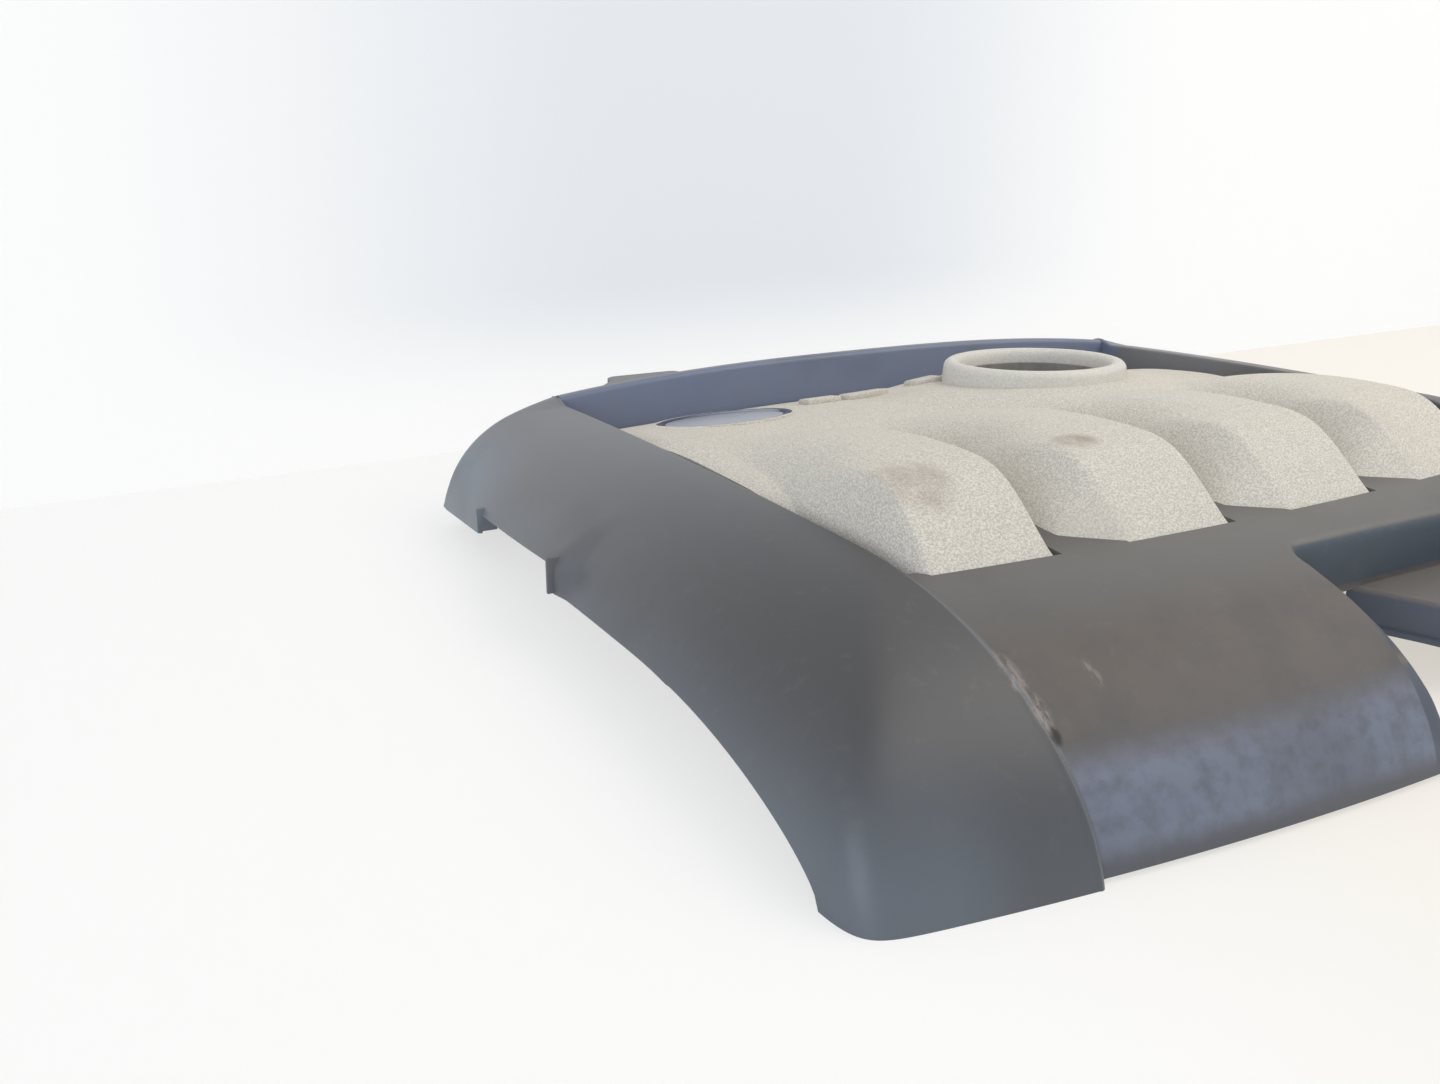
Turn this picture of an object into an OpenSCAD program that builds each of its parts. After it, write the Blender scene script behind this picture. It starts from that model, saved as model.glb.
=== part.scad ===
// Engine cover: a dark moulded outer frame with two wings, a rear rim and a rolled front
// panel, a light insert with four humps, a filler collar, and the rubber and foam parts
// that go under it. Millimetres. +X is the cover's right hand, +Y its rear, +Z up.
// The origin is under the middle of the whole cover, on the plane that it stands on.

/* [Plan] */
// Half width over the side walls at the rear rim
side_half = 294.5; // [286:0.5:302]
// Angle at which each side wall closes in towards the front, in degrees
side_angle = 3; // [2:0.1:3.6]
// Outward bow of each side wall at mid depth
side_bow = 3.5; // [0:0.5:6]
// Depth from the front edge to the rear skirt on the centre line
skirt_depth = 455; // [448:1:462]
// Depth from the front edge to the crest of the rear rim
rim_depth = 438; // [434:0.5:442]
// Radius of the front edge in plan
front_radius = 1667; // [1400:10:2400]
// Thickness of the frame's moulded wall
wall = 2.6; // [2.2:0.1:3]

/* [Wings] */
// Half width between the two ridges at the rear rim
ridge_half = 220; // [217:0.5:223]
// Angle at which the ridges close in towards the front, in degrees
ridge_angle = 5.5; // [5:0.1:5.8]
// Height of the ridges at their highest point
ridge_top = 77.8; // [76:0.2:80]
// Depth from the front edge to the highest point of the ridges
ridge_peak = 170; // [150:1:200]
// Fall of the ridges from their highest point to the rear rim
ridge_fall = 7.4; // [4:0.2:9]
// Length over which the front rolls down from the flat top
roll_length = 137; // [125:1:150]
// Depth below the ground of the centre that the front roll turns about
roll_drop = 17; // [8:1:24]
// Height by which the wings stand proud of the front panel at the bottom
ridge_step = 3.6; // [2:0.2:5]
// Highest point of the arch in the side edge
arch_height = 30; // [24:0.5:34]
// Depth from the front edge to the highest point of the arch
arch_peak = 167; // [155:1:180]
// Length of the arch in front of its highest point
arch_front = 124; // [115:1:126]
// Height of the side edge at the rear
arch_rear_height = 12; // [8:0.5:16]

/* [Side hood] */
// Depth from the front edge to the front end of the hand hold in the left side edge
hood_front = 267; // [260:1:275]
// Length of the hand hold
hood_length = 111; // [95:1:120]
// Height of the hood's lip at its rear end
lip_rear = 28; // [25:0.5:31]
// Height of the hood's lip at its front end
lip_front = 41; // [38:0.5:44]
// Outward bulge of the hood at its front end
hood_out = 9; // [5:0.5:11]
// Height of the bulged band above the lip at the front end
hood_band = 26; // [18:1:30]
// Reach of the hand hold's end walls into the wing
hood_wall = 12; // [8:1:16]

/* [Rear rim] */
// Height of the rim's crown above the ridges, on the centre line
rim_crown = 13.6; // [10:0.2:16]
// Radius with which the rim turns down into the rear skirt
rim_round = 9; // [6:0.5:11]
// Half width of the gap in the middle of the rear skirt
skirt_gap_half = 80; // [60:1:100]
// Height of the gap in the middle of the rear skirt
skirt_gap_height = 26; // [16:1:34]
// Reach of the flat ear behind the rear skirt
ear_reach = 27; // [22:1:32]
// Height of the top of the ear
ear_top = 72; // [68:0.5:73]
// Distance of the ear's middle from the centre line, to the left
ear_x = 147; // [135:1:155]

/* [Front panel] */
// Height of the flat part of the panel, where the humps stand in it
panel_top = 74.6; // [73.6:0.1:75.2]
// Height of the panel's bottom edge above the ground
panel_lift = 4; // [2:0.5:6]
// Depth from the front edge to the rear edge of the panel, between the humps
panel_rear = 150; // [146:1:154]
// Left edge of the front cut-out at its back
cut_left = -12; // [-16:1:-8]
// Right edge of the front cut-out
cut_right = 150; // [146:1:154]
// Height of the lip that turns down round the cut-out
cut_lip = 10; // [8:0.5:12]
// Depth from the front edge to the back wall of the cut-out
cut_back = 86; // [82:1:90]
// Height of the lower deck in the cut-out
deck_low = 42; // [38:0.5:46]
// Depth from the front edge to the front of the lower deck
deck_front = 42; // [36:1:50]
// Height of the skirt round the lower deck
deck_skirt = 20; // [14:1:24]

/* [Insert] */
// Thickness of the insert's moulded wall
insert_wall = 2.5; // [2.2:0.1:2.8]
// Gap left all round the insert
insert_gap = 0.8; // [0.6:0.1:1.2]
// Height of the insert's rear edge on the centre line
insert_rear_z = 56; // [54:0.5:58]
// Height of the insert's flat deck behind the humps
insert_deck_z = 79; // [78:0.2:80]
// Length over which the deck rises from the rear edge
deck_rise_length = 145; // [135:1:155]
// Fall of the insert's rear edge from the centre line to the sides
deck_crown = 4.8; // [2:0.2:6]
// Distance between the middles of neighbouring humps
hump_pitch = 100; // [98:0.5:101]
// Width of a hump across its top
hump_width = 58; // [55:0.5:60]
// Depth from the front edge to the toes of the humps, on the centre line
toe_depth = 112.4; // [111:0.2:114]
// Height of the humps at their highest point
hump_top = 103.2; // [100:0.2:106]
// Length of a hump from its toe to where it runs out into the deck
hump_length = 187; // [180:1:190]
// Width of a hump's steep right flank
hump_foot = 4; // [3:0.5:5]
// Flare of a hump's left flank at the front
flare_front = 30; // [24:1:32]
// Flare of a hump's left flank at the back
flare_back = 6; // [5:0.5:9]

/* [Filler collar] */
// Distance of the filler opening from the centre line, to the right
filler_x = 61; // [57:1:65]
// Depth from the front edge to the middle of the filler opening
filler_depth = 337.5; // [334:0.5:340]
// Height of the middle of the collar's top
filler_top = 94.5; // [93:0.5:96]
// Backward tilt of the collar, in degrees
filler_tilt = 5.3; // [4:0.1:6]
// Radius of the filler opening
filler_r = 45; // [42:0.5:47]
// Width of the collar's rounded rim
collar_rim = 12; // [10:0.5:13]
// Height of the collar above the insert
collar_height = 17; // [16:0.5:18]
// Length of the sleeve that hangs under the collar
sleeve_length = 16; // [10:1:20]
// Number of flat segments round the sleeve
sleeve_segments = 12; // [8:1:18]

/* [Badge seat] */
// Distance of the blank disc's middle inside the left ridge
disc_inset = 75; // [71:1:79]
// Depth from the front edge to the middle of the blank disc
disc_depth = 377; // [374:1:380]
// Radius of the blank disc
disc_r = 40; // [37:0.5:42]
// Gap between the disc and its seat
disc_gap = 0.8; // [0.6:0.1:1.2]
// Depth of the seat below the insert's face
disc_sink = 3; // [2.6:0.1:3.6]

/* [Mounting] */
// Share of the wing's width, out from the ridge, at which the rear mounting studs stand
stud_rear_share = 0.27; // [0.24:0.01:0.32]
// Depth from the front edge to the rear mounting studs
stud_rear = 385; // [378:1:392]
// Share of the wing's width, out from the ridge, at which the front mounting studs stand
stud_front_share = 0.35; // [0.3:0.01:0.4]
// Depth from the front edge to the front mounting studs
stud_front = 125; // [118:1:132]
// Height of the mouths of the rubber grommets
grommet_z = 6; // [3:0.5:10]
// Radius of the bore in each rubber grommet
grommet_bore_r = 4; // [3:0.1:5]
// Outer radius of each rubber grommet
grommet_r = 9; // [8:0.1:10]
// Length of each rubber grommet
grommet_length = 12; // [10:0.5:14]
// Clearance of the grommet in its cup
grommet_fit = 0.15; // [0.1:0.05:0.3]
// Thickness of the foam pad under the insert
foam_thickness = 12; // [8:0.5:16]

/* [Hidden] */
$fn = 48;
corner_low = 14;
corner_high = 6;
side_power = 0.44;
front_power = 0.5;
roll_e = edge_e(ridge_top, 0, roll_drop, front_power);
panel_edge = edge_e(ridge_top, panel_lift, roll_drop, front_power) / roll_e;
panel_back = 0.8 * ridge_step;
front_inset = panel_back * pow(panel_edge, 3) + roll_length * roll_e * (1 - panel_edge);
front_y = -(skirt_depth + ear_reach + front_inset) / 2;
rim_y = front_y + rim_depth;
rear_y = front_y + skirt_depth;
insert_rear_y = rim_y - 6;
seat_drop = insert_wall + 0.9;
panel_under = panel_top - wall - 0.5;
flange_w = 13;

// General functions
function mix(a, b, t) = a + (b - a) * t;
function clamp(t) = max(0, min(1, t));
function smooth(t) = let(c = clamp(t)) c * c * (3 - 2 * c);
function unit(v) = v / norm(v);
function bezier(p, t) = pow(1 - t, 3) * p[0] + 3 * pow(1 - t, 2) * t * p[1]
    + 3 * (1 - t) * t * t * p[2] + t * t * t * p[3];

// Offset direction at one point of a grid of points, mitred across the columns
function offset_at(g, i, j) =
    let(last_i = len(g) - 1, last_j = len(g[0]) - 1,
        along = g[min(i + 1, last_i)][j] - g[max(i - 1, 0)][j],
        left = j > 0 ? g[i][j] - g[i][j - 1] : g[i][1] - g[i][0],
        right = j < last_j ? g[i][j + 1] - g[i][j] : g[i][j] - g[i][j - 1],
        n1 = unit(cross(left, along)), n2 = unit(cross(right, along)))
    (n1 + n2) / (1 + n1 * n2);

// The inner face of a moulded wall
function inner_grid(g, thickness) = [for (i = [0:len(g) - 1]) [for (j = [0:len(g[0]) - 1])
    g[i][j] - thickness * offset_at(g, i, j)]];
// The same, where each row's inner face is never lower than the row's own edge
function level_grid(g, thickness) = let(inner = inner_grid(g, thickness))
    [for (i = [0:len(g) - 1]) let(edge = min([for (p = g[i]) p[2]]))
        [for (p = inner[i]) [p[0], p[1], max(p[2], edge)]]];

// A closed wall between two grids of points: rows run towards +Y, columns towards +X
module wall_between(outer, inner) {
    rows = len(outer);
    cols = len(outer[0]);
    half = rows * cols;
    points = [for (g = [outer, inner]) for (row = g) for (p = row) p];
    function o(i, j) = i * cols + j;
    function n(i, j) = half + i * cols + j;
    function quad(a, b, c, d) = [[a, b, d], [b, c, d]];
    faces = concat(
        [for (i = [0:rows - 2]) for (j = [0:cols - 2])
            for (f = quad(o(i, j), o(i + 1, j), o(i + 1, j + 1), o(i, j + 1))) f],
        [for (i = [0:rows - 2]) for (j = [0:cols - 2])
            for (f = quad(n(i, j), n(i, j + 1), n(i + 1, j + 1), n(i + 1, j))) f],
        [for (i = [0:rows - 2]) for (f = quad(o(i, 0), n(i, 0), n(i + 1, 0), o(i + 1, 0))) f],
        [for (i = [0:rows - 2])
            for (f = quad(o(i, cols - 1), o(i + 1, cols - 1), n(i + 1, cols - 1), n(i, cols - 1))) f],
        [for (j = [0:cols - 2]) for (f = quad(o(0, j), o(0, j + 1), n(0, j + 1), n(0, j))) f],
        [for (j = [0:cols - 2])
            for (f = quad(o(rows - 1, j), n(rows - 1, j), n(rows - 1, j + 1), o(rows - 1, j + 1))) f]);
    polyhedron(points = points, faces = faces, convexity = 10);
}

module moulded_wall(g, thickness) wall_between(g, inner_grid(g, thickness));
module edged_wall(g, thickness) wall_between(g, level_grid(g, thickness));

// A block that fills the room under a grid of points, down to a level
module room_under(g, sink, level) {
    wall_between([for (row = g) [for (p = row) p - [0, 0, sink]]],
        [for (row = g) [for (p = row) [p[0], p[1], level]]]);
}

// Plan lines and heights that the pieces share
function front_line(x) = front_y + x * x / (2 * front_radius);
function ridge_x(y) = ridge_half - (rim_y - y) * tan(ridge_angle);
function side_x(y) = let(t = clamp((rim_y - y) / (rim_depth - 26)))
    side_half - (rim_y - y) * tan(side_angle) + side_bow * 4 * t * (1 - t);
function ridge_z(y) = let(peak_y = front_y + ridge_peak)
    ridge_top - ridge_fall * pow((y - peak_y) / (rim_y - peak_y), 2);
function arch_z(y) = let(peak_y = front_y + arch_peak, d = y - peak_y)
    d > 0 ? arch_height - (arch_height - arch_rear_height) * pow(d / (rim_y - peak_y), 1.6)
    : arch_height * sqrt(max(0, 1 - pow(d / arch_front, 2)));
function lip_z(y) = mix(lip_front, lip_rear, (y - front_y - hood_front) / hood_length);
function in_hood(y) = y > front_y + hood_front && y < front_y + hood_front + hood_length;

// Wing surface. a runs from the ridge (0) to the side edge (1), b from the flat top (0) to
// the front edge (1). The corner between them is a rounded square, softer higher up.
function edge_e(top, edge, drop, power) =
    sqrt(max(0, 1 - pow((edge + drop) / (top + drop), 1 / power)));
function side_edge(y, hood) = hood && in_hood(y) ? lip_z(y) : arch_z(y);
function corner_y(bo) = front_line(side_x(front_y)) + roll_length * (roll_e - bo);
function hood_shift(p) =
    let(t = clamp((p[1] - hood_y) / hood_length), band_low = lip_z(p[1]),
        reach = hood_out * smooth((p[1] - hood_y + 14) / 14) * (1 - t),
        band = mix(hood_band, 5, t))
    reach * smooth((band_low + band - p[2]) / band) * (1 - 0.8 * clamp((band_low - p[2]) / 14));
function wing_point(a, b, y_flat, hood) =
    let(m = max(a, b), k = mix(corner_high, corner_low, pow(m, 3)),
        q = m > 0 ? pow(pow(a, k) + pow(b, k), 1 / k) : 1,
        ao = m > 0 ? a / q : 0, bo = m > 0 ? b / q : 0,
        f = pow(bo, k), top = ridge_z(y_flat), drop = roll_drop * f,
        power = mix(side_power, front_power, f),
        edge = (1 - f) * side_edge(b > 0 ? corner_y(bo) : y_flat, hood),
        e = m * edge_e(top, edge, drop, power),
        x0 = mix(ridge_x(y_flat), side_x(y_flat), e * ao),
        follow = clamp(1 - (y_flat - roll_flat_y) / 60),
        y = y_flat + follow * (front_line(x0) - front_line(ridge_x(y_flat))) - roll_length * e * bo,
        x = mix(ridge_x(y), side_x(y), e * ao),
        z = (ridge_z(y) + drop) * pow(1 - e * e, power) - drop,
        out = hood ? hood_shift([x, y, z]) : 0)
    [x + out, y, z];

// Inside each ridge the wing drops to the panel at the front, and to the insert's seat behind
ridge_depth = ridge_step + wall * 0.7;
function seat_z(y) = min(insert_edge_z(y) - seat_drop, ridge_z(y) - ridge_depth);
function ridge_foot(p, b) = let(z = p[2] - ridge_depth * (1 - 0.6 * b))
    [p[0] - 1.2, p[1] + ridge_depth * 0.7 * b, b < 0.4 ? min(z, seat_z(p[1])) : z];

wing_cols = [0, 0.06, 0.2, 0.36, 0.52, 0.67, 0.8, 0.9, 0.97, 1];
roll_rows = [for (i = [len(wing_cols) - 1:-1:1]) wing_cols[i]];
roll_ridge_x = ridge_x(front_y + roll_length);
roll_flat_y = front_line(roll_ridge_x) + roll_length * roll_e;
hood_y = front_y + hood_front;
hood_end_y = hood_y + hood_length;
function spread(from, to, count) = [for (i = [0:count]) mix(from, to, i / count)];
plain_rows = concat(spread(roll_flat_y, hood_y - 20, 4), [hood_y - 14, hood_y - 9, hood_y - 4]);
hood_rows = concat([hood_y - 0.1], spread(hood_y + 0.1, hood_end_y - 0.1, 5), [hood_end_y + 0.1]);
rear_rows = concat(spread(hood_end_y + 6, insert_rear_y, 3), [rim_y - 1, rim_y]);
flat_rows = concat(plain_rows, hood_rows, rear_rows);

function wing_row(b, y, hood) =
    let(row = [for (a = wing_cols) wing_point(a, b, y, hood)], foot = ridge_foot(row[0], b))
    concat([foot - [flange_w * (1 - b), 0, 0] - [2 * b, 0, 0], foot], row);
function wing_grid(hood) = concat([for (b = roll_rows) wing_row(b, roll_flat_y, hood)],
    [for (y = flat_rows) wing_row(0, y, hood)]);
function wing_top_grid(hood) = [for (row = wing_grid(hood)) [for (j = [2:len(row) - 1]) row[j]]];

// The rear skirt turns down behind the rim and behind the rear end of each wing
skirt_steps = [0, 0.35, 0.7, 1];
function skirt_bottom(x) = abs(x) < skirt_gap_half ? skirt_gap_height * sqrt(1 - pow(x / skirt_gap_half, 2))
    : abs(x) < ridge_half - 15 ? 0 : arch_rear_height * smooth((abs(x) - ridge_half + 15) / 80);
function skirt_y(x) = rear_y - 10 * pow(min(1, abs(x) / side_half), 6);
function skirt_column(x, z) =
    let(low = skirt_bottom(x), r = min(rim_round, (z - low) * 0.6), y = skirt_y(x))
    concat([for (s = skirt_steps) [x, mix(rim_y + 2, y - 2, sin(90 * s)), z - r * (1 - cos(90 * s))]],
        [[x, y, low]]);
function transpose(g) = [for (j = [0:len(g[0]) - 1]) [for (i = [0:len(g) - 1]) g[i][j]]];
wing_end = [for (a = wing_cols) wing_point(a, 0, rim_y - 1, false)];
// The skirt starts a little inside the wing's wall, so that the two join
function wing_skirt_grid() = transpose([for (p = wing_end)
    concat([[p[0] * 0.998, rim_y - 3, p[2] - 0.4]], skirt_column(p[0], p[2]))]);

rim_cols = concat([-ridge_half - 3], spread(-ridge_half, -skirt_gap_half - 1, 4),
    spread(-skirt_gap_half, skirt_gap_half, 7), spread(skirt_gap_half + 1, ridge_half, 4), [ridge_half + 3]);
function rim_z(x) = ridge_z(rim_y) + rim_crown * max(0, 1 - pow(x / ridge_half, 2))
    - (abs(x) > ridge_half ? 0.5 : 0);
function rim_seat_z(x) = deck_at(x, insert_rear_y) - seat_drop - 0.4;
function rim_grid() = transpose([for (x = rim_cols) let(z = rim_z(x), seat = rim_seat_z(x),
        sunk = abs(x) > ridge_half ? 0.4 : 0)
    concat([[x, insert_rear_y - flange_w, seat], [x, insert_rear_y + insert_gap, seat], [x, rim_y - 1, z - 0.6]],
        [for (p = skirt_column(x, z)) p - [0, sunk, 0]])]);

module ear() {
    y = rear_y - 3;
    translate([-ear_x, y, ear_top - wall]) linear_extrude(wall) hull() {
        translate([-38, -2]) square([76, 2]);
        translate([-19, ear_reach - 5]) circle(8);
        translate([19, ear_reach + 3 - 8]) circle(8);
    }
    for (x = [-30, 0, 30]) hull() {
        translate([x - ear_x - 1, y, ear_top - 2]) cube([2, 15, 1]);
        translate([x - ear_x - 1, y, ear_top - 16]) cube([2, 1, 1]);
    }
}

// Front panel between the ridges, with the humps' openings and the cut-out on the right
function panel_z(y) = min(ridge_z(y) - 1, panel_top);
panel_rolls = [for (t = [1, 0.98, 0.94, 0.87, 0.78, 0.67, 0.55, 0.43]) t * panel_edge];
panel_cols = spread(-1, 1, 15);
function panel_roll_point(s, b) =
    let(e = b * roll_e, back = panel_back * pow(b, 3) + roll_length * (roll_e - e),
        x = s * (ridge_x(front_line(roll_ridge_x) + back) - 0.3), y = front_line(x) + back,
        z = (ridge_z(roll_flat_y) + roll_drop) * sqrt(1 - e * e) - roll_drop)
    [x, y, min(z - ridge_step * 0.3 * b, panel_top)];
function toe_line(x) = front_y + toe_depth + x * x / (2 * front_radius) * 0.8;
function panel_flat_point(s, v) = let(x = s * (ridge_x(toe_line(roll_ridge_x) + v) - 0.3))
    [x, toe_line(x) + v, panel_top];
panel_flats = [-22, -10, 0, 12, 25, panel_rear - toe_depth];
panel_grid = concat([for (b = panel_rolls) [for (s = panel_cols) panel_roll_point(s, b)]],
    [for (v = panel_flats) [for (s = panel_cols) panel_flat_point(s, v)]]);

module cut_out_outline() {
    offset(r = 7) offset(delta = -7) polygon([[cut_left, front_y + cut_back], [cut_left + 3, front_y + cut_back - 30],
        [cut_left + 12, front_y + 18], [cut_left + 13, front_y - 20], [cut_right, front_y - 20],
        [cut_right, front_y + cut_back]]);
}
module lower_deck_outline(inset) {
    offset(delta = -inset) polygon([[38, front_y + cut_back + 1], [57, front_y + cut_back - 30],
        [66, front_y + deck_front], [cut_right + 1, front_y + deck_front], [cut_right + 1, front_y + cut_back + 1]]);
}
module front_cut_out_walls() {
    translate([cut_left - 1, front_y + cut_back + 0.3, deck_low - wall])
        cube([cut_right - cut_left + 2 + wall, wall, 27]);
    translate([cut_right + 0.3, front_y + deck_front, deck_low - wall])
        cube([wall, cut_back - deck_front + 1, 8]);
    translate([0, 0, deck_low - wall]) linear_extrude(wall) lower_deck_outline(0);
    translate([0, 0, deck_low - deck_skirt]) linear_extrude(deck_skirt) difference() {
        lower_deck_outline(0);
        lower_deck_outline(wall);
        translate([60, front_y + cut_back - 3]) square([200, 10]);
    }
}
// The humps' flanks slope, so each opening is cut in steps that widen downwards
hump_cuts = [[panel_top - 0.8, 60], [panel_top - 1.7, 0.9], [panel_top - 20, 18.3]];
module hump_openings() {
    for (i = [0:3]) for (cut = hump_cuts) translate([0, 0, cut[0]])
        linear_extrude(cut[1]) polygon(hump_outline(i, max(cut[0], panel_top - wall)));
}
module front_panel() {
    difference() {
        union() {
            moulded_wall(panel_grid, wall);
            intersection() {
                moulded_wall(panel_grid, cut_lip);
                translate([0, 0, -5]) linear_extrude(90) offset(delta = wall + 0.4) cut_out_outline();
            }
        }
        hump_openings();
        translate([0, 0, -20]) linear_extrude(120) cut_out_outline();
    }
    front_cut_out_walls();
}

// Cups under the wings that hold the rubber grommets, with gussets up to the wing
function stud_at(i) =
    let(y = front_y + (i < 2 ? stud_front : stud_rear), share = i < 2 ? stud_front_share : stud_rear_share)
    [(i % 2 == 0 ? -1 : 1) * mix(ridge_x(y), side_x(y), share), y];
cup_r = grommet_r + grommet_fit + 2.4;
module grommet_cup(p, full_height, $fn = 20) {
    translate([p[0], p[1], grommet_z]) {
        difference() {
            cylinder(r = cup_r, h = full_height);
            translate([0, 0, -1]) cylinder(r = grommet_r + grommet_fit, h = 1 + grommet_length);
            translate([0, 0, grommet_length + wall]) cylinder(r = grommet_r, h = full_height);
            cylinder(r = grommet_bore_r + 1.5, h = full_height);
        }
        for (turn = [45, 135, 225, 315]) rotate([0, 0, turn]) hull() {
            translate([cup_r - 1, -1, 6]) cube([1, 2, 1]);
            translate([cup_r - 1, -1, full_height - 1]) cube([12, 2, 1]);
        }
    }
}

module wing(hood, stud_list) {
    edged_wall(wing_grid(hood), wall);
    moulded_wall(wing_skirt_grid(), wall);
    intersection() {
        room_under(wing_top_grid(hood), wall / 2, -1);
        for (p = stud_list) grommet_cup([abs(p[0]), p[1]], ridge_top);
    }
    if (hood) for (y = [hood_end_y, hood_y - 2]) intersection() {
        room_under(wing_top_grid(hood), wall / 2, -1);
        translate([side_x(y) - hood_wall, y, arch_z(y)]) cube([hood_wall, 2, lip_z(y) + 6 - arch_z(y)]);
    }
}

module outer_frame() color("dimgray") difference() {
    union() {
        wing(false, [stud_at(1), stud_at(3)]);
        mirror([1, 0, 0]) wing(true, [stud_at(0), stud_at(2)]);
        moulded_wall(rim_grid(), wall);
        front_panel();
        ear();
    }
    for (p = pin_places()) translate([p[0], p[1], 20]) cylinder(r = pin_r + 0.3, h = 55, $fn = 10);
    translate([-400, -400, -50]) cube([800, 800, 50]);
}

// Insert: a deck that rises from the rear edge, and four humps that run out into it
function insert_edge_x(y) = ridge_x(y) - insert_gap - 1.2;
function deck_z(y) =
    let(s = clamp((insert_rear_y - y) / deck_rise_length), front = insert_rear_y - deck_rise_length - 40)
    mix(insert_rear_z, insert_deck_z, 1 - pow(1 - s, 2)) - (insert_deck_z - panel_under) * smooth((front - y) / 95);
function deck_at(x, y) =
    let(s = clamp((insert_rear_y - y) / deck_rise_length), edge = insert_edge_x(y) - abs(x))
    deck_z(y) - deck_crown * pow(x / 185, 2) * (1 - s) - 3 * (1 - smooth(edge / 9));
function insert_edge_z(y) = deck_at(insert_edge_x(y), y);
toe_curve = [[0, panel_top - 0.2], [28, 98], [36, hump_top], [54, hump_top]];
back_curve = [[54, hump_top], [95, hump_top], [140, 96], [hump_length, insert_deck_z]];
function hump_x(i) = (i - 1.5) * hump_pitch;
function flare(v, height) = min(height / 0.57, mix(flare_front, flare_back, smooth(v / 130)));
function hump_profile() = concat([for (t = [0, 0.18, 0.36, 0.52, 0.68, 0.84]) bezier(toe_curve, t)],
    [for (t = [0, 0.16, 0.32, 0.48, 0.64, 0.8, 1]) bezier(back_curve, t)]);
// Outline of one hump at a level near the panel's, grown by the gap
function hump_outline(i, level) =
    let(left = hump_x(i) - hump_width / 2, right = hump_x(i) + hump_width / 2,
        front = insert_gap + (panel_top - level), end = panel_rear - toe_depth + 20)
    concat([for (s = [0:0.25:1]) let(x = mix(right, left, s)) [x, toe_line(x) - front]],
        [for (p = hump_profile()) if (p[0] <= end)
            [left - flare(p[0], p[1] - panel_under) * (p[1] - level) / (p[1] - panel_under) - insert_gap,
                toe_line(left) + p[0] - front / 2]],
        [[right + hump_foot + insert_gap, toe_line(right) + end],
            [right + hump_foot + insert_gap, toe_line(right) - front]]);

function insert_cols(v, height) =
    let(m = max(2, flare(v, height)), w = hump_width / 2)
    concat([-400, -400, -400], [for (i = [0:3]) for (c = [-w - m, -w - m / 2, -w, -w + 5, w - 5, w, w + hump_foot]) hump_x(i) + c],
        [400, 400, 400]);
// Room that each column keeps from the insert's edge: the edge turns down, then dips
function edge_room(j) = j == 0 ? 0 : j == 1 ? 0.8 : 4.2 + 0.8 * j;
function hump_share(x, v, height) =
    max([for (i = [0:3]) let(w = hump_width / 2, m = max(2, flare(v, height)), dx = x - hump_x(i))
        clamp(min((dx + w + m) / m, (w + hump_foot - dx) / hump_foot))]);
function insert_row(v, top) =
    let(xs = insert_cols(v, top - panel_under), n = len(xs) - 1, fade = clamp(1 - v / hump_length),
        y0 = toe_line(0) + v, limit = insert_edge_x(y0))
    [for (j = [0:n]) let(
        x = max(edge_room(j) - limit, min(limit - edge_room(n - j), xs[j])),
        y = y0 + (toe_line(x) - toe_line(0)) * fade, base = deck_at(x, y),
        share = j == 0 || j == n ? 0 : hump_share(x, v, max(1, top - panel_under)),
        z = base + max(0, top - base) * share)
        [x, y, z]];
deck_rows = [for (t = [0.22, 0.43, 0.64, 0.83, 0.95, 1])
    mix(toe_line(0) + hump_length, insert_rear_y, t) - toe_line(0)];
function insert_grid() = concat([insert_row(-9, 0), insert_row(-2.5, 0)],
    [for (p = hump_profile()) insert_row(p[0], p[1])], [for (v = deck_rows) insert_row(v, 0)]);

// Frame of reference of the filler collar: its origin is in the middle of the collar's top
module at_filler() {
    translate([filler_x, front_y + filler_depth, filler_top]) rotate([-filler_tilt, 0, 0]) children();
}
// Frame of reference of the blank disc's seat, on the sloping deck
disc_y = front_y + disc_depth;
disc_x = ridge_x(disc_y) - disc_inset;
disc_slope = atan((deck_at(-disc_x, disc_y + 20) - deck_at(-disc_x, disc_y - 20)) / 40);
disc_lean = atan((deck_at(-disc_x + 20, disc_y) - deck_at(-disc_x - 20, disc_y)) / 40);
module at_disc() {
    translate([-disc_x, disc_y, deck_at(-disc_x, disc_y)]) rotate([disc_slope, -disc_lean, 0]) children();
}
collar_r = filler_r + collar_rim;
pin_r = 2;
pin_inset = 5;
rear_pin_shares = [-0.74, -0.25, 0.25, 0.74];
side_pin_shares = [0.57, 0.71, 0.845];
function pin_places() = concat(
    [for (t = rear_pin_shares) let(y = insert_rear_y - pin_inset - 1, x = t * insert_edge_x(y)) [x, y, deck_at(x, y)]],
    [for (s = [-1, 1]) for (t = side_pin_shares) let(y = front_y + t * rim_depth, x = s * (insert_edge_x(y) - pin_inset))
        [x, y, deck_at(x, y)]]);

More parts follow.
